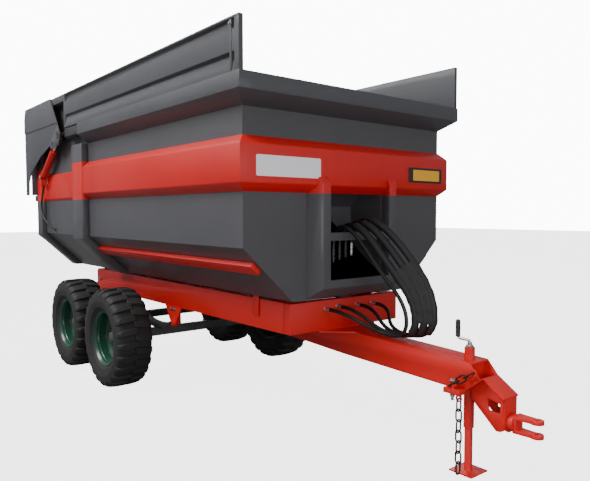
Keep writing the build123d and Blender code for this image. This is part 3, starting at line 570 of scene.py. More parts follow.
def baked(work: bpy.types.Object) -> Mesh:
    """Turn a working object with its modifier into a plain mesh.

    Args:
        work: The object, which is removed with its mesh.

    Returns:
        The plain mesh.
    """
    source = work.data
    depsgraph = bpy.context.evaluated_depsgraph_get()
    mesh = bpy.data.meshes.new_from_object(work.evaluated_get(depsgraph))
    bpy.data.objects.remove(work)
    bpy.data.meshes.remove(source)
    return mesh


def mesh_from(points: list[Point], faces: list[tuple[int, ...]]) -> Mesh:
    """Make a mesh from points and faces, with its faces turned outwards.

    Args:
        points: The vertices' places.
        faces: Each face's vertex numbers.

    Returns:
        The mesh.
    """
    mesh = bpy.data.meshes.new("work")
    mesh.from_pydata(points, [], faces)
    with edited(mesh) as shape:
        bmesh.ops.remove_doubles(shape, verts=shape.verts, dist=1e-5)
        bmesh.ops.recalc_face_normals(shape, faces=shape.faces)
    return mesh


def skinned(rings: list[list[Point]], looped: bool = False) -> Mesh:
    """Skin a run of rings that have like numbers of points.

    Args:
        rings: Each ring's points in order.
        looped: Whether the last ring joins the first; otherwise both ends are capped.

    Returns:
        The closed mesh.
    """
    size, count = len(rings[0]), len(rings)
    faces: list[tuple[int, ...]] = []
    if not looped:
        faces = [tuple(range(size)), tuple(range((count - 1) * size, count * size))]
    for ring_number in range(count if looped else count - 1):
        here, there = ring_number * size, (ring_number + 1) % count * size
        for corner in range(size):
            after = (corner + 1) % size
            faces.append((here + corner, here + after, there + after, there + corner))
    return mesh_from([point for ring_points in rings for point in ring_points], faces)


def turns(count: int) -> list[float]:
    """The angles of a full turn in even steps."""
    return [2 * math.pi * step / count for step in range(count)]


def lathe(profile: list[tuple[float, float]], centre: Point, axis: Axis, steps: int = 96) -> Mesh:
    """Turn a closed profile about an axis.

    Args:
        profile: Points of (distance along the axis, radius), closed by itself.
        centre: A point of the axis from which the distances count.
        axis: The axis.
        steps: How many steps make the turn.

    Returns:
        The turned mesh.
    """
    along = Vector(axis.value)
    across = Vector(Axis.Z.value if axis is not Axis.Z else Axis.X.value)
    side = along.cross(across)
    rings = []
    for angle in turns(steps):
        out = across * math.cos(angle) + side * math.sin(angle)
        rings.append([tuple(Vector(centre) + along * reach + out * radius) for reach, radius in profile])
    return skinned(rings, looped=True)


def prism(outline: list[Point], offset: Point) -> Mesh:
    """Push a flat outline along an offset.

    Args:
        outline: The outline's corners in order.
        offset: How far and where the outline is pushed.

    Returns:
        The closed mesh.
    """
    count = len(outline)
    shift = Vector(offset)
    points = outline + [tuple(Vector(p) + shift) for p in outline]
    faces = [tuple(range(count)), tuple(range(count, 2 * count))]
    faces += [(i, (i + 1) % count, count + (i + 1) % count, count + i) for i in range(count)]
    return mesh_from(points, faces)


def slab(low: Point, high: Point) -> Mesh:
    """A box between two corners."""
    x, y, z = zip(low, high)
    outline = [(x[0], y[0], z[0]), (x[1], y[0], z[0]), (x[1], y[1], z[0]), (x[0], y[1], z[0])]
    return prism(outline, (0, 0, z[1] - z[0]))


def tube(path: list[Point], radius: float, sides: int = 12) -> Mesh:
    """A round bar along a path with closed ends.

    Args:
        path: Points that the bar's middle passes.
        radius: The bar's radius.
        sides: How many sides the bar has.

    Returns:
        The closed mesh.
    """
    line = [Vector(p) for p in path]
    rings = []
    normal = (line[1] - line[0]).normalized().orthogonal().normalized()
    for i, here in enumerate(line):
        ahead = (line[min(i + 1, len(line) - 1)] - line[max(i - 1, 0)]).normalized()
        normal = (normal - ahead * normal.dot(ahead)).normalized()
        other = ahead.cross(normal)
        section = [normal * math.cos(angle) + other * math.sin(angle) for angle in turns(sides)]
        rings.append([tuple(here + reach * radius) for reach in section])
    return skinned(rings)


def bolt(radius: float, height: float, washer: float = 1.5) -> Mesh:
    """A hexagon head on a washer, standing on the XY plane.

    Args:
        radius: The head's radius over its corners.
        height: The head's height.
        washer: The washer's radius over the head's.

    Returns:
        The closed mesh.
    """
    flat = math.cos(math.pi / 6)  # a flat's distance over a corner's
    table = (
        # radius, radius between two corners, Z
        (radius * washer, radius * washer, 0.0),
        (radius * washer, radius * washer, height * 0.2),
        (radius, radius * flat, height * 0.2),
        (radius, radius * flat, height * 0.88),
        (radius * 0.86, radius * 0.86 * flat, height),
    )
    rings = []
    for corner, between, z in table:
        reaches = zip(turns(12), (corner, between) * 6)
        rings.append([(reach * math.cos(angle), reach * math.sin(angle), z) for angle, reach in reaches])
    return skinned(rings)


def turned(mesh: Mesh, axis: Axis, sign: float = 1.0) -> Mesh:
    """Stand a piece made on the XY plane up along another axis.

    Args:
        mesh: The piece, changed in place.
        axis: The axis along which its height then lies.
        sign: 1 towards the axis's positive end, -1 away from it.

    Returns:
        The same mesh.
    """
    turn = Vector((0, 0, 1)).rotation_difference(Vector(axis.value) * sign)
    mesh.transform(turn.to_matrix().to_4x4())
    return mesh


def merged(meshes: list[Mesh]) -> Mesh:
    """Put several meshes into one.

    Args:
        meshes: The meshes, which are removed.

    Returns:
        The mesh that holds them all.
    """
    shape = bmesh.new()
    for mesh in meshes:
        shape.from_mesh(mesh)
        bpy.data.meshes.remove(mesh)
    whole = bpy.data.meshes.new("work")
    shape.to_mesh(whole)
    shape.free()
    return whole


def soften(mesh: Mesh, angle: float = HARD_ANGLE) -> Mesh:
    """Shade a mesh smooth, with hard edges kept where its faces turn sharply.

    Args:
        mesh: The mesh, changed in place.
        angle: The turn in degrees past which an edge stays hard.

    Returns:
        The same mesh.
    """
    limit = math.radians(angle)
    with edited(mesh) as shape:
        for face in shape.faces:
            face.smooth = True
        for edge in shape.edges:
            edge.smooth = len(edge.link_faces) == 2 and edge.calc_face_angle(0.0) < limit
    return mesh


def rounded(mesh: Mesh, width: float, segments: int = 2, edge_slot: int = -1) -> Mesh:
    """Round a mesh's sharp edges.

    Args:
        mesh: The mesh, which is removed.
        width: How wide the rounding is.
        segments: How many steps it has.
        edge_slot: The material slot of the rounding, or -1 for that of its neighbours.

    Returns:
        The rounded mesh.
    """
    work = shown("work", mesh)
    bevel = work.modifiers.new("round", "BEVEL")
    bevel.width = width
    bevel.segments = segments
    bevel.limit_method = "ANGLE"
    bevel.angle_limit = math.radians(28)
    bevel.harden_normals = False
    bevel.material = edge_slot
    return baked(work)


def piece(
    mesh: Mesh,
    name: str,
    body: str,
    finish: str,
    replaces: tuple[str, ...] = (),
    smooth: float = HARD_ANGLE,
) -> bpy.types.Object:
    """Finish a piece: give it its name, its finish and the body it moves with.

    Args:
        mesh: The piece's mesh, in its place.
        name: The piece's name.
        body: The body it moves with.
        finish: The name of its paint or finish.
        replaces: The solids it stands for.
        smooth: The turn in degrees past which an edge stays hard.

    Returns:
        The finished object.
    """
    mesh.name = name
    mesh.materials.clear()
    for material in SHOP.paint(finish) if finish in PAINTS else (SHOP.finish(finish),):
        mesh.materials.append(material)
    finished = shown(name, soften(mesh, smooth))
    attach(finished, body)
    if SHOP.slot(finish):
        SHOP.slot(finish)
    if replaces:
        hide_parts(*replaces)
    log.info("%s: %d faces on %s", name, len(mesh.polygons), body)
    return finished


def geometry_tree(name: str, inputs: dict[str, str]) -> tuple[Graph, dict, object]:
    """Start a geometry node tree.

    Args:
        name: The tree's name.
        inputs: Each named input with its socket type, after the geometry itself.

    Returns:
        The tree's graph, its inputs by name and its output node.
    """
    tree = bpy.data.node_groups.new(name, "GeometryNodeTree")
    tree.is_modifier = True
    tree.interface.new_socket(name="Geometry", in_out="INPUT", socket_type="NodeSocketGeometry")
    for label, kind in inputs.items():
        tree.interface.new_socket(name=label, in_out="INPUT", socket_type=kind)
    tree.interface.new_socket(name="Geometry", in_out="OUTPUT", socket_type="NodeSocketGeometry")
    graph = Graph(tree)
    entry = graph.add("NodeGroupInput")
    return graph, {socket.name: socket for socket in entry.outputs}, graph.add("NodeGroupOutput")


def place_copies(
    graph: Graph, given: dict, points: object, axis: object, angle: object, out: bpy.types.Node
) -> None:
    """End a tree with turned copies of its geometry, made real and given their material.

    Args:
        graph: The tree's graph.
        given: The tree's inputs by name.
        points: Where the copies stand.
        axis: The vector that each copy's angle scales into its turn about X, Y and Z.
        angle: The angle of each copy.
        out: The tree's output node.
    """
    euler = graph.add("ShaderNodeVectorMath", {0: axis, "Scale": angle}, operation="SCALE")
    rotation = graph.add("FunctionNodeEulerToRotation", {0: euler.outputs[0]}).outputs[0]
    stand = {"Points": points, "Instance": given["Geometry"], "Rotation": rotation}
    copies = graph.add("GeometryNodeInstanceOnPoints", stand).outputs["Instances"]
    real = graph.add("GeometryNodeRealizeInstances", {"Geometry": copies}).outputs["Geometry"]
    painted = graph.add("GeometryNodeSetMaterial", {"Geometry": real, "Material": given["Material"]})
    graph.join(painted.outputs["Geometry"], out.inputs[0])


def ring_tree() -> bpy.types.NodeTree:
    """Copies of a piece turned about an axis through the origin.

    Returns:
        The tree, with the inputs Count, Phase, Axis and Material.
    """
    graph, given, out = geometry_tree(
        "ring_of_pieces",
        {
            "Count": "NodeSocketInt",
            "Phase": "NodeSocketFloat",
            "Axis": "NodeSocketVector",
            "Material": "NodeSocketMaterial",
        },
    )
    points = graph.add("GeometryNodePoints", {"Count": given["Count"]})
    turn = graph.math("ADD", graph.add("GeometryNodeInputIndex").outputs[0], given["Phase"])
    angle = graph.math("MULTIPLY", graph.math("DIVIDE", turn, given["Count"]), 2 * math.pi)
    place_copies(graph, given, points.outputs[0], given["Axis"], angle, out)
    return graph.tree


def row_tree() -> bpy.types.NodeTree:
    """Copies of a piece in a row, each turned a little further than the one before.

    Returns:
        The tree, with the inputs Count, Start, Step, Turn and Material.
    """
    graph, given, out = geometry_tree(
        "row_of_pieces",
        {
            "Count": "NodeSocketInt",
            "Start": "NodeSocketVector",
            "Step": "NodeSocketVector",
            "Turn": "NodeSocketVector",
            "Material": "NodeSocketMaterial",
        },
    )
    laid = {"Count": given["Count"], "Start Location": given["Start"], "Offset": given["Step"]}
    line = graph.add("GeometryNodeMeshLine", laid, mode="OFFSET")
    index = graph.add("GeometryNodeInputIndex").outputs[0]
    place_copies(graph, given, line.outputs[0], given["Turn"], index, out)
    return graph.tree


TREES = {"ring": ring_tree(), "row": row_tree()}


def grown(tree: str, seed: Mesh, finish: str, **values: object) -> Mesh:
    """Run a geometry node tree on a seed mesh.

    Args:
        tree: The tree's short name.
        seed: The piece that is repeated, which is removed.
        finish: The name of the copies' paint or finish.
        values: The tree's other inputs by name.

    Returns:
        A plain mesh of the copies.
    """
    group = TREES[tree]
    work = shown("work", seed)
    modifier = work.modifiers.new("grow", "NODES")
    modifier.node_group = group
    values["Material"] = SHOP.finish(finish)
    for socket in group.interface.items_tree:
        if socket.in_out == "INPUT" and socket.name in values:
            modifier[socket.identifier] = values[socket.name]
    work.update_tag()
    return baked(work)


def row(seed: Mesh, finish: str, count: int, start: Point, step: Point, turn: Point = (0, 0, 0)) -> Mesh:
    """Copies of a seed in a row.

    Args:
        seed: The piece at the origin.
        finish: The copies' paint or finish.
        count: How many there are.
        start: Where the first stands.
        step: From each to the next.
        turn: How far each turns past the one before, in radians about X, Y and Z.

    Returns:
        The mesh of the copies.
    """
    return grown("row", seed, finish, Count=count, Start=start, Step=step, Turn=turn)


def ring(seed: Mesh, finish: str, count: int, axis: Axis, centre: Point, phase: float = 0.0) -> Mesh:
    """Copies of a seed turned about an axis.

    Args:
        seed: The piece at its distance from the origin.
        finish: The copies' paint or finish.
        count: How many there are.
        axis: The axis of the ring.
        centre: The ring's middle.
        phase: How far the ring is turned, as a share of its pitch.

    Returns:
        The mesh of the copies.
    """
    mesh = grown("ring", seed, finish, Count=count, Phase=phase, Axis=axis.value)
    mesh.transform(Matrix.Translation(centre))
    return mesh


def weld(start: Point, end: Point, width: float = 0.009) -> Mesh:
    """A weld bead between two points, as overlapping ripples.

    Args:
        start: Where the bead starts.
        end: Where it ends.
        width: The bead's half width.

    Returns:
        The bead's mesh.
    """
    line = Vector(end) - Vector(start)
    pitch = width * 0.55
    count = max(2, int(line.length / pitch))
    ripple = bpy.data.meshes.new("ripple")
    with edited(ripple) as shape:
        bmesh.ops.create_uvsphere(shape, u_segments=8, v_segments=5, radius=width)
    return row(ripple, "red", count, start, tuple(line / count))


@dataclass
class Studio:
    """Floor, light and camera."""

    camera_place: Point = (5.5056, -3.634, 1.8832)
    heading: float = 0.871
    tilt: float = -0.0561
    lens: float = 36.63
    shift: tuple[float, float] = (-0.0316, 0.0112)
    floor_half: float = 60.0
    ambient: float = 0.44
    backdrop: float = 12.0
    floor_glow: float = 3.6

    def build(self) -> None:
        """Make the camera, the floor and the lights."""
        lens = bpy.data.cameras.new("view")
        lens.lens = self.lens
        lens.sensor_width = 36.0
        lens.shift_x, lens.shift_y = self.shift
        camera = shown("view", lens)
        camera.location = self.camera_place
        camera.rotation_euler = (math.pi / 2 + self.tilt, 0.0, self.heading)
        bpy.context.scene.camera = camera
        self.floor()
        self.lights()

    def floor(self) -> None:
        """Lay the plain pale floor."""
        half = self.floor_half
        corners = [(-half, -half, 0), (half, -half, 0), (half, half, 0), (-half, half, 0)]
        mesh = mesh_from(corners, [(0, 1, 2, 3)])
        material = bpy.data.materials.new("floor")
        material.use_nodes = True
        shader = material.node_tree.nodes["Principled BSDF"]
        graph = Graph(material.node_tree)
        seen = graph.add("ShaderNodeLightPath").outputs["Is Camera Ray"]
        glow = graph.math("MULTIPLY", seen, self.floor_glow)
        graph.fill(shader, {"Emission Color": rgba((1.0, 1.0, 1.0)), "Emission Strength": glow})
        graph.fill(shader, {"Base Color": rgba((0.16, 0.16, 0.16)), "Roughness": 0.9})
        mesh.materials.append(material)
        shown("floor", mesh)

    def lights(self) -> None:
        """Hang the soft lights and set the pale surroundings."""
        world = bpy.data.worlds.new("surroundings")
        world.use_nodes = True
        graph = Graph(world.node_tree)
        background = world.node_tree.nodes["Background"]
        seen = graph.add("ShaderNodeLightPath").outputs["Is Camera Ray"]
        strength = graph.spread(seen, 0.0, 1.0, self.ambient, self.backdrop)
        graph.fill(background, {"Color": rgba((0.93, 0.95, 1.0)), "Strength": strength})
        bpy.context.scene.world = world
        table = (
            # name, place, aim, size, power
            ("key", (-3.5, -9.4, 12.6), (-0.6, 0.0, 1.2), 8.0, 3000.0),
            ("front", (10.0, -1.6, 2.6), (1.5, 0.0, 1.6), 4.0, 170.0),
            ("fill", (6.4, -3.4, 1.5), (1.2, 0.0, 1.6), 1.6, 62.0),
            ("back", (-9.0, 7.0, 7.0), (-1.0, 0.0, 2.0), 6.0, 300.0),
            ("rear", (-10.0, 8.0, 2.6), (-2.0, 0.0, 1.5), 6.0, 520.0),
        )
        for name, place, aim, size, power in table:
            data = bpy.data.lights.new(name, "AREA")
            data.size = size
            data.energy = power
            light = shown(name, data)
            light.location = place
            light.rotation_euler = (Vector(aim) - Vector(place)).to_track_quat("-Z", "Y").to_euler()


@dataclass
class Steelwork:
    """Welded and folded steel: each solid copied with rounded edges and its paint."""

    widths: dict[str, tuple[str, float]] = field(
        default_factory=lambda: {
            # node: paint, width of the rounding
            "chassis_frame": ("red", 0.006),
            "front_crossmember": ("red", 0.006),
            "drawbar": ("red", 0.006),
            "drawbar_head": ("red", 0.003),
            "yoke": ("red", 0.006),
            "jack_leg": ("red", 0.003),
            "spring_hangers": ("red", 0.003),
            "light_bar": ("dark", 0.003),
            "leaf_springs": ("dark", 0.003),
            "belt": ("red", 0.007),
            "rear_hoops": ("hoops", 0.007),
            "stringers": ("red", 0.006),
            "recess_frame": ("hoops", 0.006),
            "rim_channel": ("grey", 0.0025),
            "side_board_left": ("grey", 0.003),
            "side_board_right": ("grey", 0.003),
            "board_tails": ("grey", 0.003),
            "gate_pivots": ("dark", 0.004),
            "gate_ram_brackets": ("red", 0.003),
            "gate_frame": ("grey", 0.005),
            "gate_panel": ("grey", 0.002),
            "gate_wings": ("grey", 0.002),
            "tub_guides": ("red", 0.003),
            "axle_front": ("dark", 0.004),
            "axle_rear": ("dark", 0.004),
        }
    )

    def copy(self, node: str, width: float) -> Mesh:
        """A merged copy of a solid with rounded edges.

        Args:
            node: The solid's name.
            width: How wide the rounding is.

        Returns:
            The rounded mesh.
        """
        mesh = frame["nodes"][node].data.copy()
        mesh.materials.clear()
        for _ in ("paint", "its edges"):
            mesh.materials.append(None)
        with edited(mesh) as shape:
            bmesh.ops.remove_doubles(shape, verts=shape.verts, dist=2e-6)
            bmesh.ops.dissolve_limit(
                shape,
                angle_limit=math.radians(0.6),
                verts=shape.verts,
                edges=shape.edges,
                use_dissolve_boundaries=False,
            )
            for face in shape.faces:
                face.material_index = 0
        return rounded(mesh, width, 2, 1)

    def dress(self) -> None:
        """Replace each listed solid by its rounded copy."""
        for node, (paint, width) in self.widths.items():
            body = frame["nodes"][node]["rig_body"]
            piece(self.copy(node, width), node + "_painted", body, paint, (node,))


@dataclass
class Carried:
    """Solids that keep their own mesh and only get a finish."""

    table: dict[str, tuple[str, ...]] = field(
        default_factory=lambda: {
            "grey": (
                "tub_floor", "tub_side_left", "tub_side_right", "tub_front", "tip_lugs", "trunnion_lugs",
            ),
            "red": ("jack_tube", "gate_ram_barrel_left", "gate_ram_barrel_right"),
            "dark": ("ram_barrel",),
            "pad": ("rest_pads",),
            "zinc": ("tip_shaft",),
            "chrome": (
                *(f"ram_stage_{stage}" for stage in range(1, 6)), "gate_ram_rod_left", "gate_ram_rod_right",
            ),
        }
    )

    def dress(self) -> None:
        """Give each solid its finish."""
        for finish, nodes in self.table.items():
            material = SHOP.finish(finish)
            for node in nodes:
                mesh = frame["nodes"][node].data
                mesh.materials.clear()
                mesh.materials.append(material)


@dataclass
class Wheel:
    """One wheel: a deep rim and a broad tyre with barred tread."""

    axle: str
    side: str
    outer: float = 1.275
    width: float = 0.389
    carcass_radius: float = 0.514
    bead_radius: float = 0.282
    rim_radius: float = 0.298
    rim_half: float = 0.152
    lugs: int = 24
    nuts: int = 8
    nut_circle: float = 0.1375
    steps: int = 120

    @property
    def body(self) -> str:
        """The body that this wheel is."""
        return f"wheel_{self.axle}_{self.side}"

    @property
    def sign(self) -> float:
        """1 on the left, -1 on the right."""
        return SIDES[self.side]

    @property
    def middle(self) -> float:
        """Distance of the tyre's middle from the trailer's."""
        return self.outer - self.width / 2

    @property
    def hub(self) -> Point:
        """The wheel's centre on the trailer's middle plane."""
        return (AXLE_X[self.axle], 0.0, HUB_Z)

    @property
    def disc(self) -> float:
        """Distance of the rim's disc from the trailer's middle."""
        return self.middle - 0.025

    def about_hub(self, profile: list[tuple[float, float]], steps: int) -> Mesh:
        """Turn a profile about the wheel's axis on its own side.

        Args:
            profile: Points of (distance from the trailer's middle, radius).
            steps: How many steps make the turn.

        Returns:
            The turned mesh.
        """
        return lathe([(self.sign * y, radius) for y, radius in profile], self.hub, Axis.Y, steps)

    def carcass(self) -> Mesh:
        """The tyre without its bars.

        Returns:
            The turned mesh.
        """
        half = self.width / 2
        flank = [
            # distance from the tyre's middle, radius
            (self.rim_half - 0.023, self.bead_radius - 0.0077),
            (self.rim_half - 0.006, self.rim_radius + 0.002),
            (self.rim_half + 0.006, self.rim_radius + 0.012), (half - 0.024, 0.330), (half - 0.020, 0.338),
            (half - 0.016, 0.338), (half - 0.014, 0.346), (half - 0.006, 0.372), (half - 0.001, 0.398),
            (half - 0.000, 0.412), (half - 0.001, 0.430), (half - 0.003, 0.434), (half - 0.002, 0.446),
            (half - 0.006, 0.466), (half - 0.016, 0.486), (half - 0.032, 0.500), (half - 0.060, 0.508),
            (0.080, self.carcass_radius - 0.002), (0.035, self.carcass_radius),
        ]
        profile = flank + [(-reach, radius) for reach, radius in flank[::-1]]
        return self.about_hub([(self.middle + reach, radius) for reach, radius in profile], self.steps)

    def bar(self, flip: float) -> Mesh:
        """One tread bar about the origin's Y axis, running from the middle over the shoulder.

        Args:
            flip: 1 for the outer half of the tread, -1 for the inner half.

        Returns:
            The bar's mesh.
        """
        pitch = 2 * math.pi / self.lugs
        half = self.width / 2
        stations = [
            # distance from the middle, radius under, radius of the top, half width in pitches, lag in pitches
            (-0.012, 0.500, 0.5345, 0.235, 0.00),
            (0.030, 0.500, 0.5355, 0.235, 0.03),
            (0.080, 0.498, 0.5345, 0.235, 0.08),
            (0.125, 0.490, 0.5300, 0.225, 0.12),
            (half - 0.034, 0.480, 0.5215, 0.215, 0.15),
            (half - 0.014, 0.462, 0.5010, 0.205, 0.17),
            (half - 0.004, 0.446, 0.4700, 0.180, 0.18),
        ]
        foot = 0.05  # how far the bar's foot spreads on each side, in pitches
        rings = []
        for reach, under, top, share, lag in stations:
            y = self.sign * (self.middle + flip * reach)
            corners = ((under, -share - foot), (top, -share), (top, share), (under, share + foot))
            laid = [(radius, (across + lag) * pitch) for radius, across in corners]
            rings.append([(radius * math.sin(angle), y, radius * math.cos(angle)) for radius, angle in laid])
        return rounded(skinned(rings), 0.004, 1)

    def rim(self) -> Mesh:
        """The rim with its dished disc and hub.

        Returns:
            The turned mesh.
        """
        disc = self.disc
        outer, inner = self.middle + self.rim_half, self.middle - self.rim_half
        profile = [
            # distance from the trailer's middle, radius
            (0.866, 0.0355), (1.108, 0.0355), (1.112, 0.040),
            (1.112, 0.070), (1.106, 0.076), (disc + 0.020, 0.080),
            (disc + 0.012, 0.090), (disc + 0.012, 0.215), (disc + 0.018, 0.230), (disc + 0.044, 0.262),
            (disc + 0.056, 0.266), (outer - 0.052, 0.266), (outer - 0.044, 0.271), (outer - 0.026, 0.272),
            (outer - 0.020, 0.278), (outer - 0.006, 0.290), (outer, 0.2935), (outer + 0.002, 0.2965),
            (outer - 0.001, 0.2985), (outer - 0.010, 0.298), (outer - 0.022, 0.274), (inner + 0.022, 0.274),
            (inner + 0.010, 0.298), (inner, 0.298), (inner, 0.292),
            (inner + 0.022, 0.266), (disc + 0.030, 0.266),
            (disc, 0.215), (disc, 0.150), (0.866, 0.150),
        ]
        return self.about_hub(profile, self.steps)

    def build(self) -> None:
        """Make the tyre, the rim and what is bolted to it."""
        x, _, z = self.hub
        place = f"{self.axle}_{self.side}"
        halves = ((1, 0.0), (-1, 0.5))  # half of the tread, share of a pitch by which its bars are turned
        bars = [ring(self.bar(flip), "rubber", self.lugs, Axis.Y, self.hub, phase) for flip, phase in halves]
        tyre = merged([self.carcass(), *bars])
        piece(tyre, f"tyre_{place}_tread", self.body, "rubber", (f"tyre_{place}",), 40)
        piece(self.rim(), f"rim_{place}_turned", self.body, "green", (f"rim_{place}",), 30)
        face = self.disc + 0.012
        nut = turned(bolt(0.016, 0.022, 1.25), Axis.Y, self.sign)
        nut.transform(Matrix.Translation((0.0, self.sign * face, self.nut_circle)))
        nuts = ring(nut, "zinc", self.nuts, Axis.Y, self.hub, 0.5)
        # distance from the hub, distance off the disc
        stem = ((0.232, 0.030), (0.222, 0.048), (0.216, 0.078))
        valve = tube([(x + reach, self.sign * (face + out), z) for reach, out in stem], 0.005, 8)
        piece(merged([nuts, valve]), f"nuts_{place}", self.body, "zinc")
        cap = [
            # distance from the trailer's middle, radius
            (1.1125, AXIS_GAP), (1.1125, 0.058), (1.128, 0.060),
            (1.150, 0.055), (1.156, 0.044), (1.158, AXIS_GAP),
        ]
        piece(self.about_hub(cap, 40), f"hub_cap_{place}", self.body, "dark")


@dataclass
class Chain:
    """The safety chain of round links: the hanging run and the short run up to the drawbar's end."""

    y: float = -0.158
    eye: tuple[float, float] = (FRONT_X + 1.246, 0.576)
    stay_start: tuple[float, float] = (FRONT_X + 1.162, 0.6505)
    stay_angle: float = 33.0
    links: int = 7
    stay_links: int = 3
    length: float = 0.104
    width: float = 0.058
    wire: float = 0.013
    pitch: float = 0.076

    def link(self) -> Mesh:
        """One link round the origin, upright in the YZ plane.

        Returns:
            The link's mesh.
        """
        bend = self.width / 2 - self.wire / 2
        straight = self.length / 2 - self.width / 2
        path = []
        for end in (1, -1):
            for step in range(9):
                angle = math.pi * step / 8
                path.append((end * bend * math.cos(angle), 0.0, end * (straight + bend * math.sin(angle))))
        broad = Vector(Axis.Y.value)
        rings = []
        for i, place in enumerate(path):
            ahead = (Vector(path[(i + 1) % len(path)]) - Vector(path[i - 1])).normalized()
            out = ahead.cross(broad)
            section = [out * math.cos(angle) + broad * math.sin(angle) for angle in turns(10)]
            rings.append([tuple(Vector(place) + reach * self.wire / 2) for reach in section])
        mesh = skinned(rings, looped=True)
        mesh.transform(Matrix.Rotation(math.pi / 2, 4, "Z"))
        return mesh

    def build(self) -> None:
        """Hang the links."""
        reach = self.length / 2 - self.wire / 2
        quarter = (0, 0, math.pi / 2)
        start = (self.eye[0], self.y, self.eye[1] - reach)
        hanging = row(self.link(), "chain", self.links, start, (0, 0, -self.pitch), quarter)
        stay = row(self.link(), "chain", self.stay_links, (0, 0, reach), (0, 0, self.pitch), quarter)
        lean = Matrix.Rotation(math.radians(90 - self.stay_angle), 4, "Y")
        stay.transform(Matrix.Translation((self.stay_start[0], self.y, self.stay_start[1])) @ lean)
        piece(merged([hanging, stay]), "chain_links", "chassis", "chain", ("safety_chain",), 60)


@dataclass
class Jack:
    """The parking jack's crank."""

    x: float = FRONT_X + 1.22
    top_z: float = 0.916
    crank_z: float = 0.965
    grip_x: float = -0.105
    grip_radius: float = 0.018

    def build(self) -> None:
        """Make the crank with its grip, and the jack's collar."""
        path = (
            # forward of the jack, Z over the crank's bar
            (0.0, self.top_z - self.crank_z), (0.0, -0.012), (-0.006, -0.002),
            (-0.020, 0.002), (-0.088, 0.004),
            (-0.100, 0.010), (self.grip_x, 0.024), (self.grip_x, 0.060),
        )
        bar = tube([(self.x + reach, 0.0, self.crank_z + rise) for reach, rise in path], 0.0105, 14)
        collar = lathe(
            [
                (0.0, AXIS_GAP), (0.0, 0.026), (0.004, 0.028), (0.014, 0.028), (0.018, 0.024), (0.018, 0.017),
                (0.036, 0.017), (0.038, 0.015), (0.038, AXIS_GAP),
            ],
            (self.x, 0.0, self.top_z),
            Axis.Z,
            32,
        )
        piece(merged([bar, collar]), "crank_bar", "chassis", "zinc", ("jack_crank",))
        grip_profile = [(0.0, AXIS_GAP), (0.0, 0.013)]
        for groove in range(9):
            z = 0.006 + groove * 0.012
            grip_profile += [(z, self.grip_radius), (z + 0.008, self.grip_radius), (z + 0.010, 0.0164)]
        grip_profile += [(0.118, self.grip_radius), (0.126, 0.015), (0.129, 0.009), (0.129, AXIS_GAP)]
        grip = lathe(grip_profile, (self.x + self.grip_x, 0.0, self.crank_z + 0.012), Axis.Z, 28)
        piece(grip, "crank_grip", "chassis", "grip")


BEND_STEPS = 24  # steps in which each bend of a hose is drawn


@dataclass
class Hose:
    """One hydraulic hose along its route, with what ends it."""

    node: str
    body: str
    diameter: float
    route: list[Point]
    far_end: str
    coupler: str = ""
    sleeved: tuple[float, float] = (2.55, 5.75)  # bends between which a sleeve covers it
    carried: list[bpy.types.Object] = field(default_factory=list)

    def points(self) -> list[Vector]:
        """The route's corners in the trailer's frame."""
        return [Vector((FRONT_X + x, y, z)) for x, y, z in self.route]

    def samples(self) -> list[Vector]:
        """Points along the spline that the route's corners draw, from the hose's start."""
        corners = self.points()
        middles = [corners[0], *[(a + b) / 2 for a, b in zip(corners[1:-2], corners[2:-1])], corners[-1]]
        drawn = [middles[0]]
        for start, corner, end in zip(middles, corners[1:-1], middles[1:]):
            for step in range(1, BEND_STEPS + 1):
                t = step / BEND_STEPS
                drawn.append(start * (1 - t) ** 2 + corner * (2 * t * (1 - t)) + end * t**2)
        return drawn

    def length(self) -> float:
        """The hose's length in metres."""
        drawn = self.samples()
        return sum((after - before).length for before, after in zip(drawn, drawn[1:]))

    def sleeve(self) -> bpy.types.Object:
        """The woven sleeve over the hose's rising part.

        Returns:
            The finished sleeve.
        """
        first, last = (int(bend * BEND_STEPS) for bend in self.sleeved)
        covered = [tuple(point) for point in self.samples()[first:last]]
        cloth = tube(covered, self.diameter * 0.96, 20)
        return piece(cloth, self.node + "_sleeve", self.body, "sleeve", smooth=60)

    def end_fitting(self) -> bpy.types.Object:
        """The quick coupler on the hose's free end.

        Returns:
            The finished coupler.
        """
        x, y, z = self.points()[-1]
        profile = [
            (0.030, AXIS_GAP), (0.030, 0.0165), (0.004, 0.0165), (0.000, 0.0180), (-0.020, 0.0180),
            (-0.024, 0.0140), (-0.030, 0.0140), (-0.034, 0.0170), (-0.056, 0.0170), (-0.060, 0.0120),
            (-0.080, 0.0115), (-0.082, AXIS_GAP),
        ]
        return piece(lathe(profile, (x, y, z), Axis.Z, 28), self.node + "_coupler", self.body, self.coupler)

    def build(self) -> None:
        """Lay the hose."""
        if self.coupler:
            self.carried.append(self.end_fitting())
        curve = bpy.data.curves.new(self.node + "_laid", "CURVE")
        curve.dimensions = "3D"
        curve.resolution_u = 14
        curve.bevel_depth = self.diameter / 2
        curve.bevel_resolution = 5
        curve.use_fill_caps = True
        spline = curve.splines.new("NURBS")
        corners = self.points()
        spline.points.add(len(corners) - 1)
        for point, place in zip(spline.points, corners):
            point.co = (*place, 1.0)
        spline.order_u = 3
        spline.use_endpoint_u = True
        curve.materials.append(SHOP.finish("hose"))
        laid = shown(self.node + "_laid", curve)
        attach(laid, self.body)
        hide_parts(self.node)
        self.length()


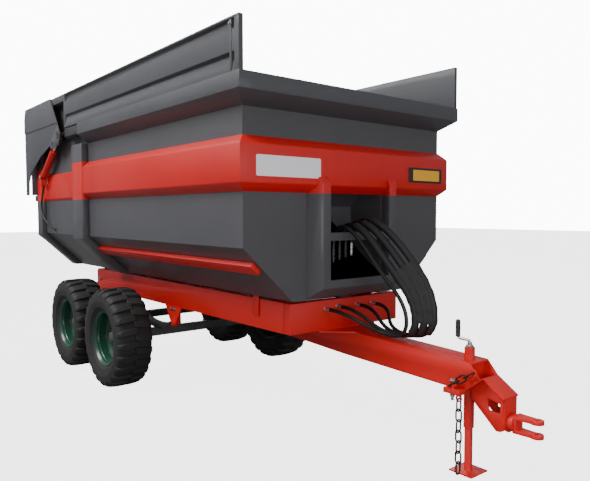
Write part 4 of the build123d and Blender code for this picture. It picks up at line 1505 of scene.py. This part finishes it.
@dataclass
class Hydraulics:
    """The hoses from the front crossmember over the recess's bar, and the one to the tailgate ram."""

    rows: tuple[tuple[float, ...], ...] = (
        # Y and Z of the union, Y on the drawbar, Y over the bar, how many hoses lie outside this one
        (-0.263, 1.064, -0.060, -0.230, 3),
        (-0.124, 1.076, -0.020, -0.160, 2),
        (0.100, 1.070, 0.020, -0.090, 1),
        (0.298, 1.063, 0.060, -0.020, 0),
    )
    diameter: float = 0.032
    wrapped: tuple[float, float] = (2.95, 4.35)  # bends between which the cloth lies
    union_end: float = -0.0077
    drop: float = 0.220  # the straight end that hangs behind the bar

    def front_route(self, row: tuple[float, ...]) -> list[Point]:
        """Corners of a front hose's route, counted from the front wall.

        Args:
            row: The hose's row of the table.

        Returns:
            The corners.
        """
        union_y, union_z, low_y, bar_y, step = row
        return [
            (self.union_end, union_y, union_z),
            (0.150, union_y, union_z),
            (0.385 - 0.008 * step, low_y, 0.900),
            (0.830 - 0.054 * step, low_y, 0.900),
            (0.850 - 0.060 * step, low_y, 1.225 - 0.024 * step),
            (0.612 - 0.058 * step, (low_y + bar_y) / 2, 1.570 - 0.044 * step),
            (0.305 - 0.030 * step, bar_y, 1.835 - 0.020 * step),
            (-0.005, bar_y, 1.820 - 0.017 * step),
            (-0.005, bar_y, 1.820 - 0.017 * step - self.drop),
        ]

    def unions(self) -> None:
        """Make the unions on the crossmember."""
        profile = [
            (0.000, AXIS_GAP), (0.000, 0.0180), (0.006, 0.0180),
            (0.008, 0.0140), (0.012, 0.0140), (0.014, 0.0175),
            (0.030, 0.0175), (0.032, 0.0160), (0.036, 0.0160),
            (0.038, 0.0172), (0.046, 0.0172), (0.048, 0.0162),
            (0.060, 0.0162), (0.0618, 0.0145), (0.0618, AXIS_GAP),
        ]
        made = [lathe(profile, (FRONT_X - 0.070, y, z), Axis.X, 24) for y, z, *_ in self.rows]
        piece(merged(made), "unions_turned", "chassis", "zinc", ("couplers_front",))

    def wrap(self, hoses: list[Hose]) -> bpy.types.Object:
        """The cloth wrapped round three hoses where they rise.

        Args:
            hoses: The wrapped hoses, from the innermost of the loops outwards.

        Returns:
            The finished wrap.
        """
        first, last = (int(bend * BEND_STEPS) for bend in self.wrapped)
        lines = [hose.samples()[first:last] for hose in hoses]
        reach = self.diameter * 1.02
        rings = []
        count = last - first
        for i in range(count):
            inner, outer = lines[0][i], lines[-1][i]
            middle = (inner + outer) / 2
            ahead = (lines[1][min(i + 1, count - 1)] - lines[1][max(i - 1, 0)]).normalized()
            across = outer - inner
            across -= ahead * across.dot(ahead)
            half = across.length / 2
            across.normalize()
            up = ahead.cross(across)
            swell = 1.0 + 0.05 * math.sin(i * 0.9)
            section = []
            for angle in turns(40):
                side = math.copysign(half, math.cos(angle))
                waist = 1.0 - 0.16 * math.cos(math.pi * abs(math.cos(angle)) * 2) ** 2
                out = across * (side * abs(math.cos(angle)) ** 0.35 + reach * math.cos(angle) * swell)
                section.append(tuple(middle + out + up * reach * math.sin(angle) * swell * waist))
            rings.append(section)
        return piece(skinned(rings), "hose_wrap", "chassis", "sleeve", smooth=60)

    def build(self) -> None:
        """Lay all the hoses."""
        self.unions()
        hoses = []
        for number, (row_values, coupler) in enumerate(zip(self.rows, ("grip", "grip", "grip", "zinc")), 1):
            route = self.front_route(row_values)
            hoses.append(Hose(f"hose_front_{number}", "chassis", self.diameter, route, "fitting", coupler))
        for hose in hoses[1:]:
            hose.carried.append(hose.sleeve())
        hoses[2].carried.append(self.wrap(hoses[1:]))
        for hose in hoses:
            hose.build()
        gate = [
            (-4.660, -1.212, 2.244),
            (-4.790, -1.225, 2.040),
            (-4.730, -1.215, 1.840),
            (-4.560, -1.190, 1.720),
            (-4.380, -1.163, 1.672),
        ]
        Hose("hose_gate_right", "tub", 0.020, gate, "object").build()


@dataclass
class Lamps:
    """The rear lamp units: a dark case and its lenses."""

    rear_x: float = FRONT_X - 4.546
    bar_x: float = FRONT_X - 4.510
    z: tuple[float, float] = (0.710, 0.850)
    y: tuple[float, float] = (0.760, 1.100)
    lens_depth: float = 0.012

    def build(self) -> None:
        """Make the cases and the lenses."""
        cases, red, amber = [], [], []
        fields = (
            # share of the width where a lens starts and ends, list it goes to
            (0.02, 0.34, amber),
            (0.36, 0.66, red),
            (0.68, 0.98, red),
        )
        for sign in SIDES.values():
            low, high = (sign * reach for reach in self.y)
            near, far = sorted((low, high))
            case = slab((self.rear_x + self.lens_depth, near, self.z[0]), (self.bar_x, far, self.z[1]))
            cases.append(rounded(case, 0.006))
            for start, end, held in fields:
                edges = sorted((high + (low - high) * start, high + (low - high) * end))
                lens = slab(
                    (self.rear_x, edges[0], self.z[0] + 0.008),
                    (self.rear_x + self.lens_depth - 0.0005, edges[1], self.z[1] - 0.008),
                )
                held.append(rounded(lens, 0.004))
        piece(merged(cases), "lamp_cases", "chassis", "smoke", ("rear_lamps",))
        piece(merged(red), "lamp_lenses_red", "chassis", "lens_red")
        piece(merged(amber), "lamp_lenses_amber", "chassis", "lens_amber")


@dataclass
class Plates:
    """Bare plates on the front of the belt."""

    belt_x: float = FRONT_X + 0.070

    def panel(
        self, name: str, finish: str, x: float, y: tuple[float, float], z: tuple[float, float], deep: float
    ) -> None:
        """Fix a bare plate with rounded corners on a face that looks forward.

        Args:
            name: The plate's name.
            finish: Its finish.
            x: The face that carries it.
            y: Its limits across.
            z: Its limits up.
            deep: Its thickness.
        """
        corner = min(y[1] - y[0], z[1] - z[0]) * 0.09
        outline = []
        for (cy, cz), start in (
            ((y[1] - corner, z[1] - corner), 0),
            ((y[0] + corner, z[1] - corner), 90),
            ((y[0] + corner, z[0] + corner), 180),
            ((y[1] - corner, z[0] + corner), 270),
        ):
            for step in range(5):
                angle = math.radians(start + 22.5 * step)
                outline.append((x + 0.0004, cy + corner * math.cos(angle), cz + corner * math.sin(angle)))
        piece(rounded(prism(outline, (deep, 0, 0)), 0.0006, 1), name, "tub", finish)

    def build(self) -> None:
        """Fix all the plates."""
        self.panel("plate_wide", "white", self.belt_x, (-1.070, -0.435), (2.165, 2.325), 0.003)
        self.panel("plate_badge", "black", self.belt_x, (0.640, 1.120), (2.170, 2.310), 0.003)
        self.panel("plate_badge_field", "amber", self.belt_x + 0.0035, (0.700, 1.080), (2.190, 2.290), 0.002)


@dataclass
class Fasteners:
    """Bolts, pins and weld beads."""

    # What stands on both sides has its place on the left given.
    board_bolt: Point = (FRONT_X + 0.0375, 1.2662, 3.246)
    hanger_bolt: tuple[float, float] = (0.6442, 0.850)  # Y and Z
    hanger_reach: float = 0.465  # from an axle to its outer hanger
    bolt_pitch: float = 0.05
    tab_bolt: Point = (FRONT_X + 1.190, -0.158, 0.6965)
    ram_pin: Point = (FRONT_X - 4.660, 1.2585, 2.360)
    cross_x: float = FRONT_X - 0.07
    gusset_reach: tuple[float, float] = (0.225, 0.33)  # along X and along Y
    drawbar_y: float = 0.112
    bead_z: Point = (0.879, 0.869, 0.882)  # gusset to frame, gusset to drawbar, drawbar to frame
    top_half: float = 0.11  # half the length of the bead on the drawbar

    def bolts(self) -> None:
        """Set the bolts of the boards and hangers."""
        heads, low = [], []
        front, rear = AXLE_X["front"], AXLE_X["rear"]
        for sign in SIDES.values():
            x, y, z = self.board_bolt
            head = turned(bolt(0.013, 0.014), Axis.Y, sign)
            heads.append(row(head, "zinc", 1, (x, sign * y, z), (0, 0, 0)))
            y, z = self.hanger_bolt
            for middle in (front + self.hanger_reach, (front + rear) / 2, rear - self.hanger_reach):
                seed = turned(bolt(0.013, 0.012), Axis.Y, sign)
                start = (middle - self.bolt_pitch, sign * y, z)
                low.append(row(seed, "zinc", 3, start, (self.bolt_pitch, 0, 0)))
        piece(merged(heads), "board_bolts", "tub", "zinc")
        piece(merged(low), "hanger_bolts", "chassis", "zinc")

    def pins(self) -> None:
        """Set the chain's bolt and the ends of the tailgate rams' pins."""
        head = bolt(0.019, 0.014)
        head.transform(Matrix.Translation(self.tab_bolt))
        stud_profile = [
            # Z, radius
            (0.5955, AXIS_GAP), (0.5955, 0.018), (0.580, 0.018),
            (0.580, 0.011), (0.552, 0.011), (0.550, AXIS_GAP),
        ]
        stud = lathe(stud_profile, (*self.tab_bolt[:2], 0.0), Axis.Z, 12)
        piece(merged([head, stud]), "chain_bolt", "chassis", "zinc")
        profile = [
            # distance out along Y, radius
            (0.0, AXIS_GAP), (0.0, 0.024), (0.003, 0.026), (0.007, 0.026), (0.010, 0.022), (0.010, AXIS_GAP),
        ]
        x, y, z = self.ram_pin
        ends = []
        for sign in SIDES.values():
            placed = [(sign * (y + out), radius) for out, radius in profile]
            ends.append(lathe(placed, (x, 0.0, z), Axis.Y, 28))
        piece(merged(ends), "ram_pin_ends", "tub", "zinc")

    def welds(self) -> None:
        """Lay the beads where the drawbar meets the frame."""
        beads = []
        cross, inner = self.cross_x, self.drawbar_y
        along, across = self.gusset_reach
        frame_z, bar_z, top_z = self.bead_z
        for sign in SIDES.values():
            beads.append(weld((cross, sign * across, frame_z), (cross, sign * inner, frame_z)))
            beads.append(weld((cross + along, sign * inner, bar_z), (cross, sign * inner, bar_z)))
        beads.append(weld((cross + 0.001, -self.top_half, top_z), (cross + 0.001, self.top_half, top_z)))
        piece(merged(beads), "frame_welds", "chassis", "red", smooth=80)

    def build(self) -> None:
        """Set the bolts and pins and lay the welds."""
        self.bolts()
        self.pins()
        self.welds()


def main() -> None:
    """Build the studio and every sub-assembly."""
    logging.basicConfig(level=logging.INFO, format="%(name)s %(message)s")
    Studio().build()
    Hydraulics().build()
    Steelwork().dress()
    Carried().dress()
    for axle in AXLE_X:
        for side in SIDES:
            Wheel(axle, side).build()
    Chain().build()
    Jack().build()
    Lamps().build()
    Plates().build()
    Fasteners().build()


if __name__ == "__main__":
    main()
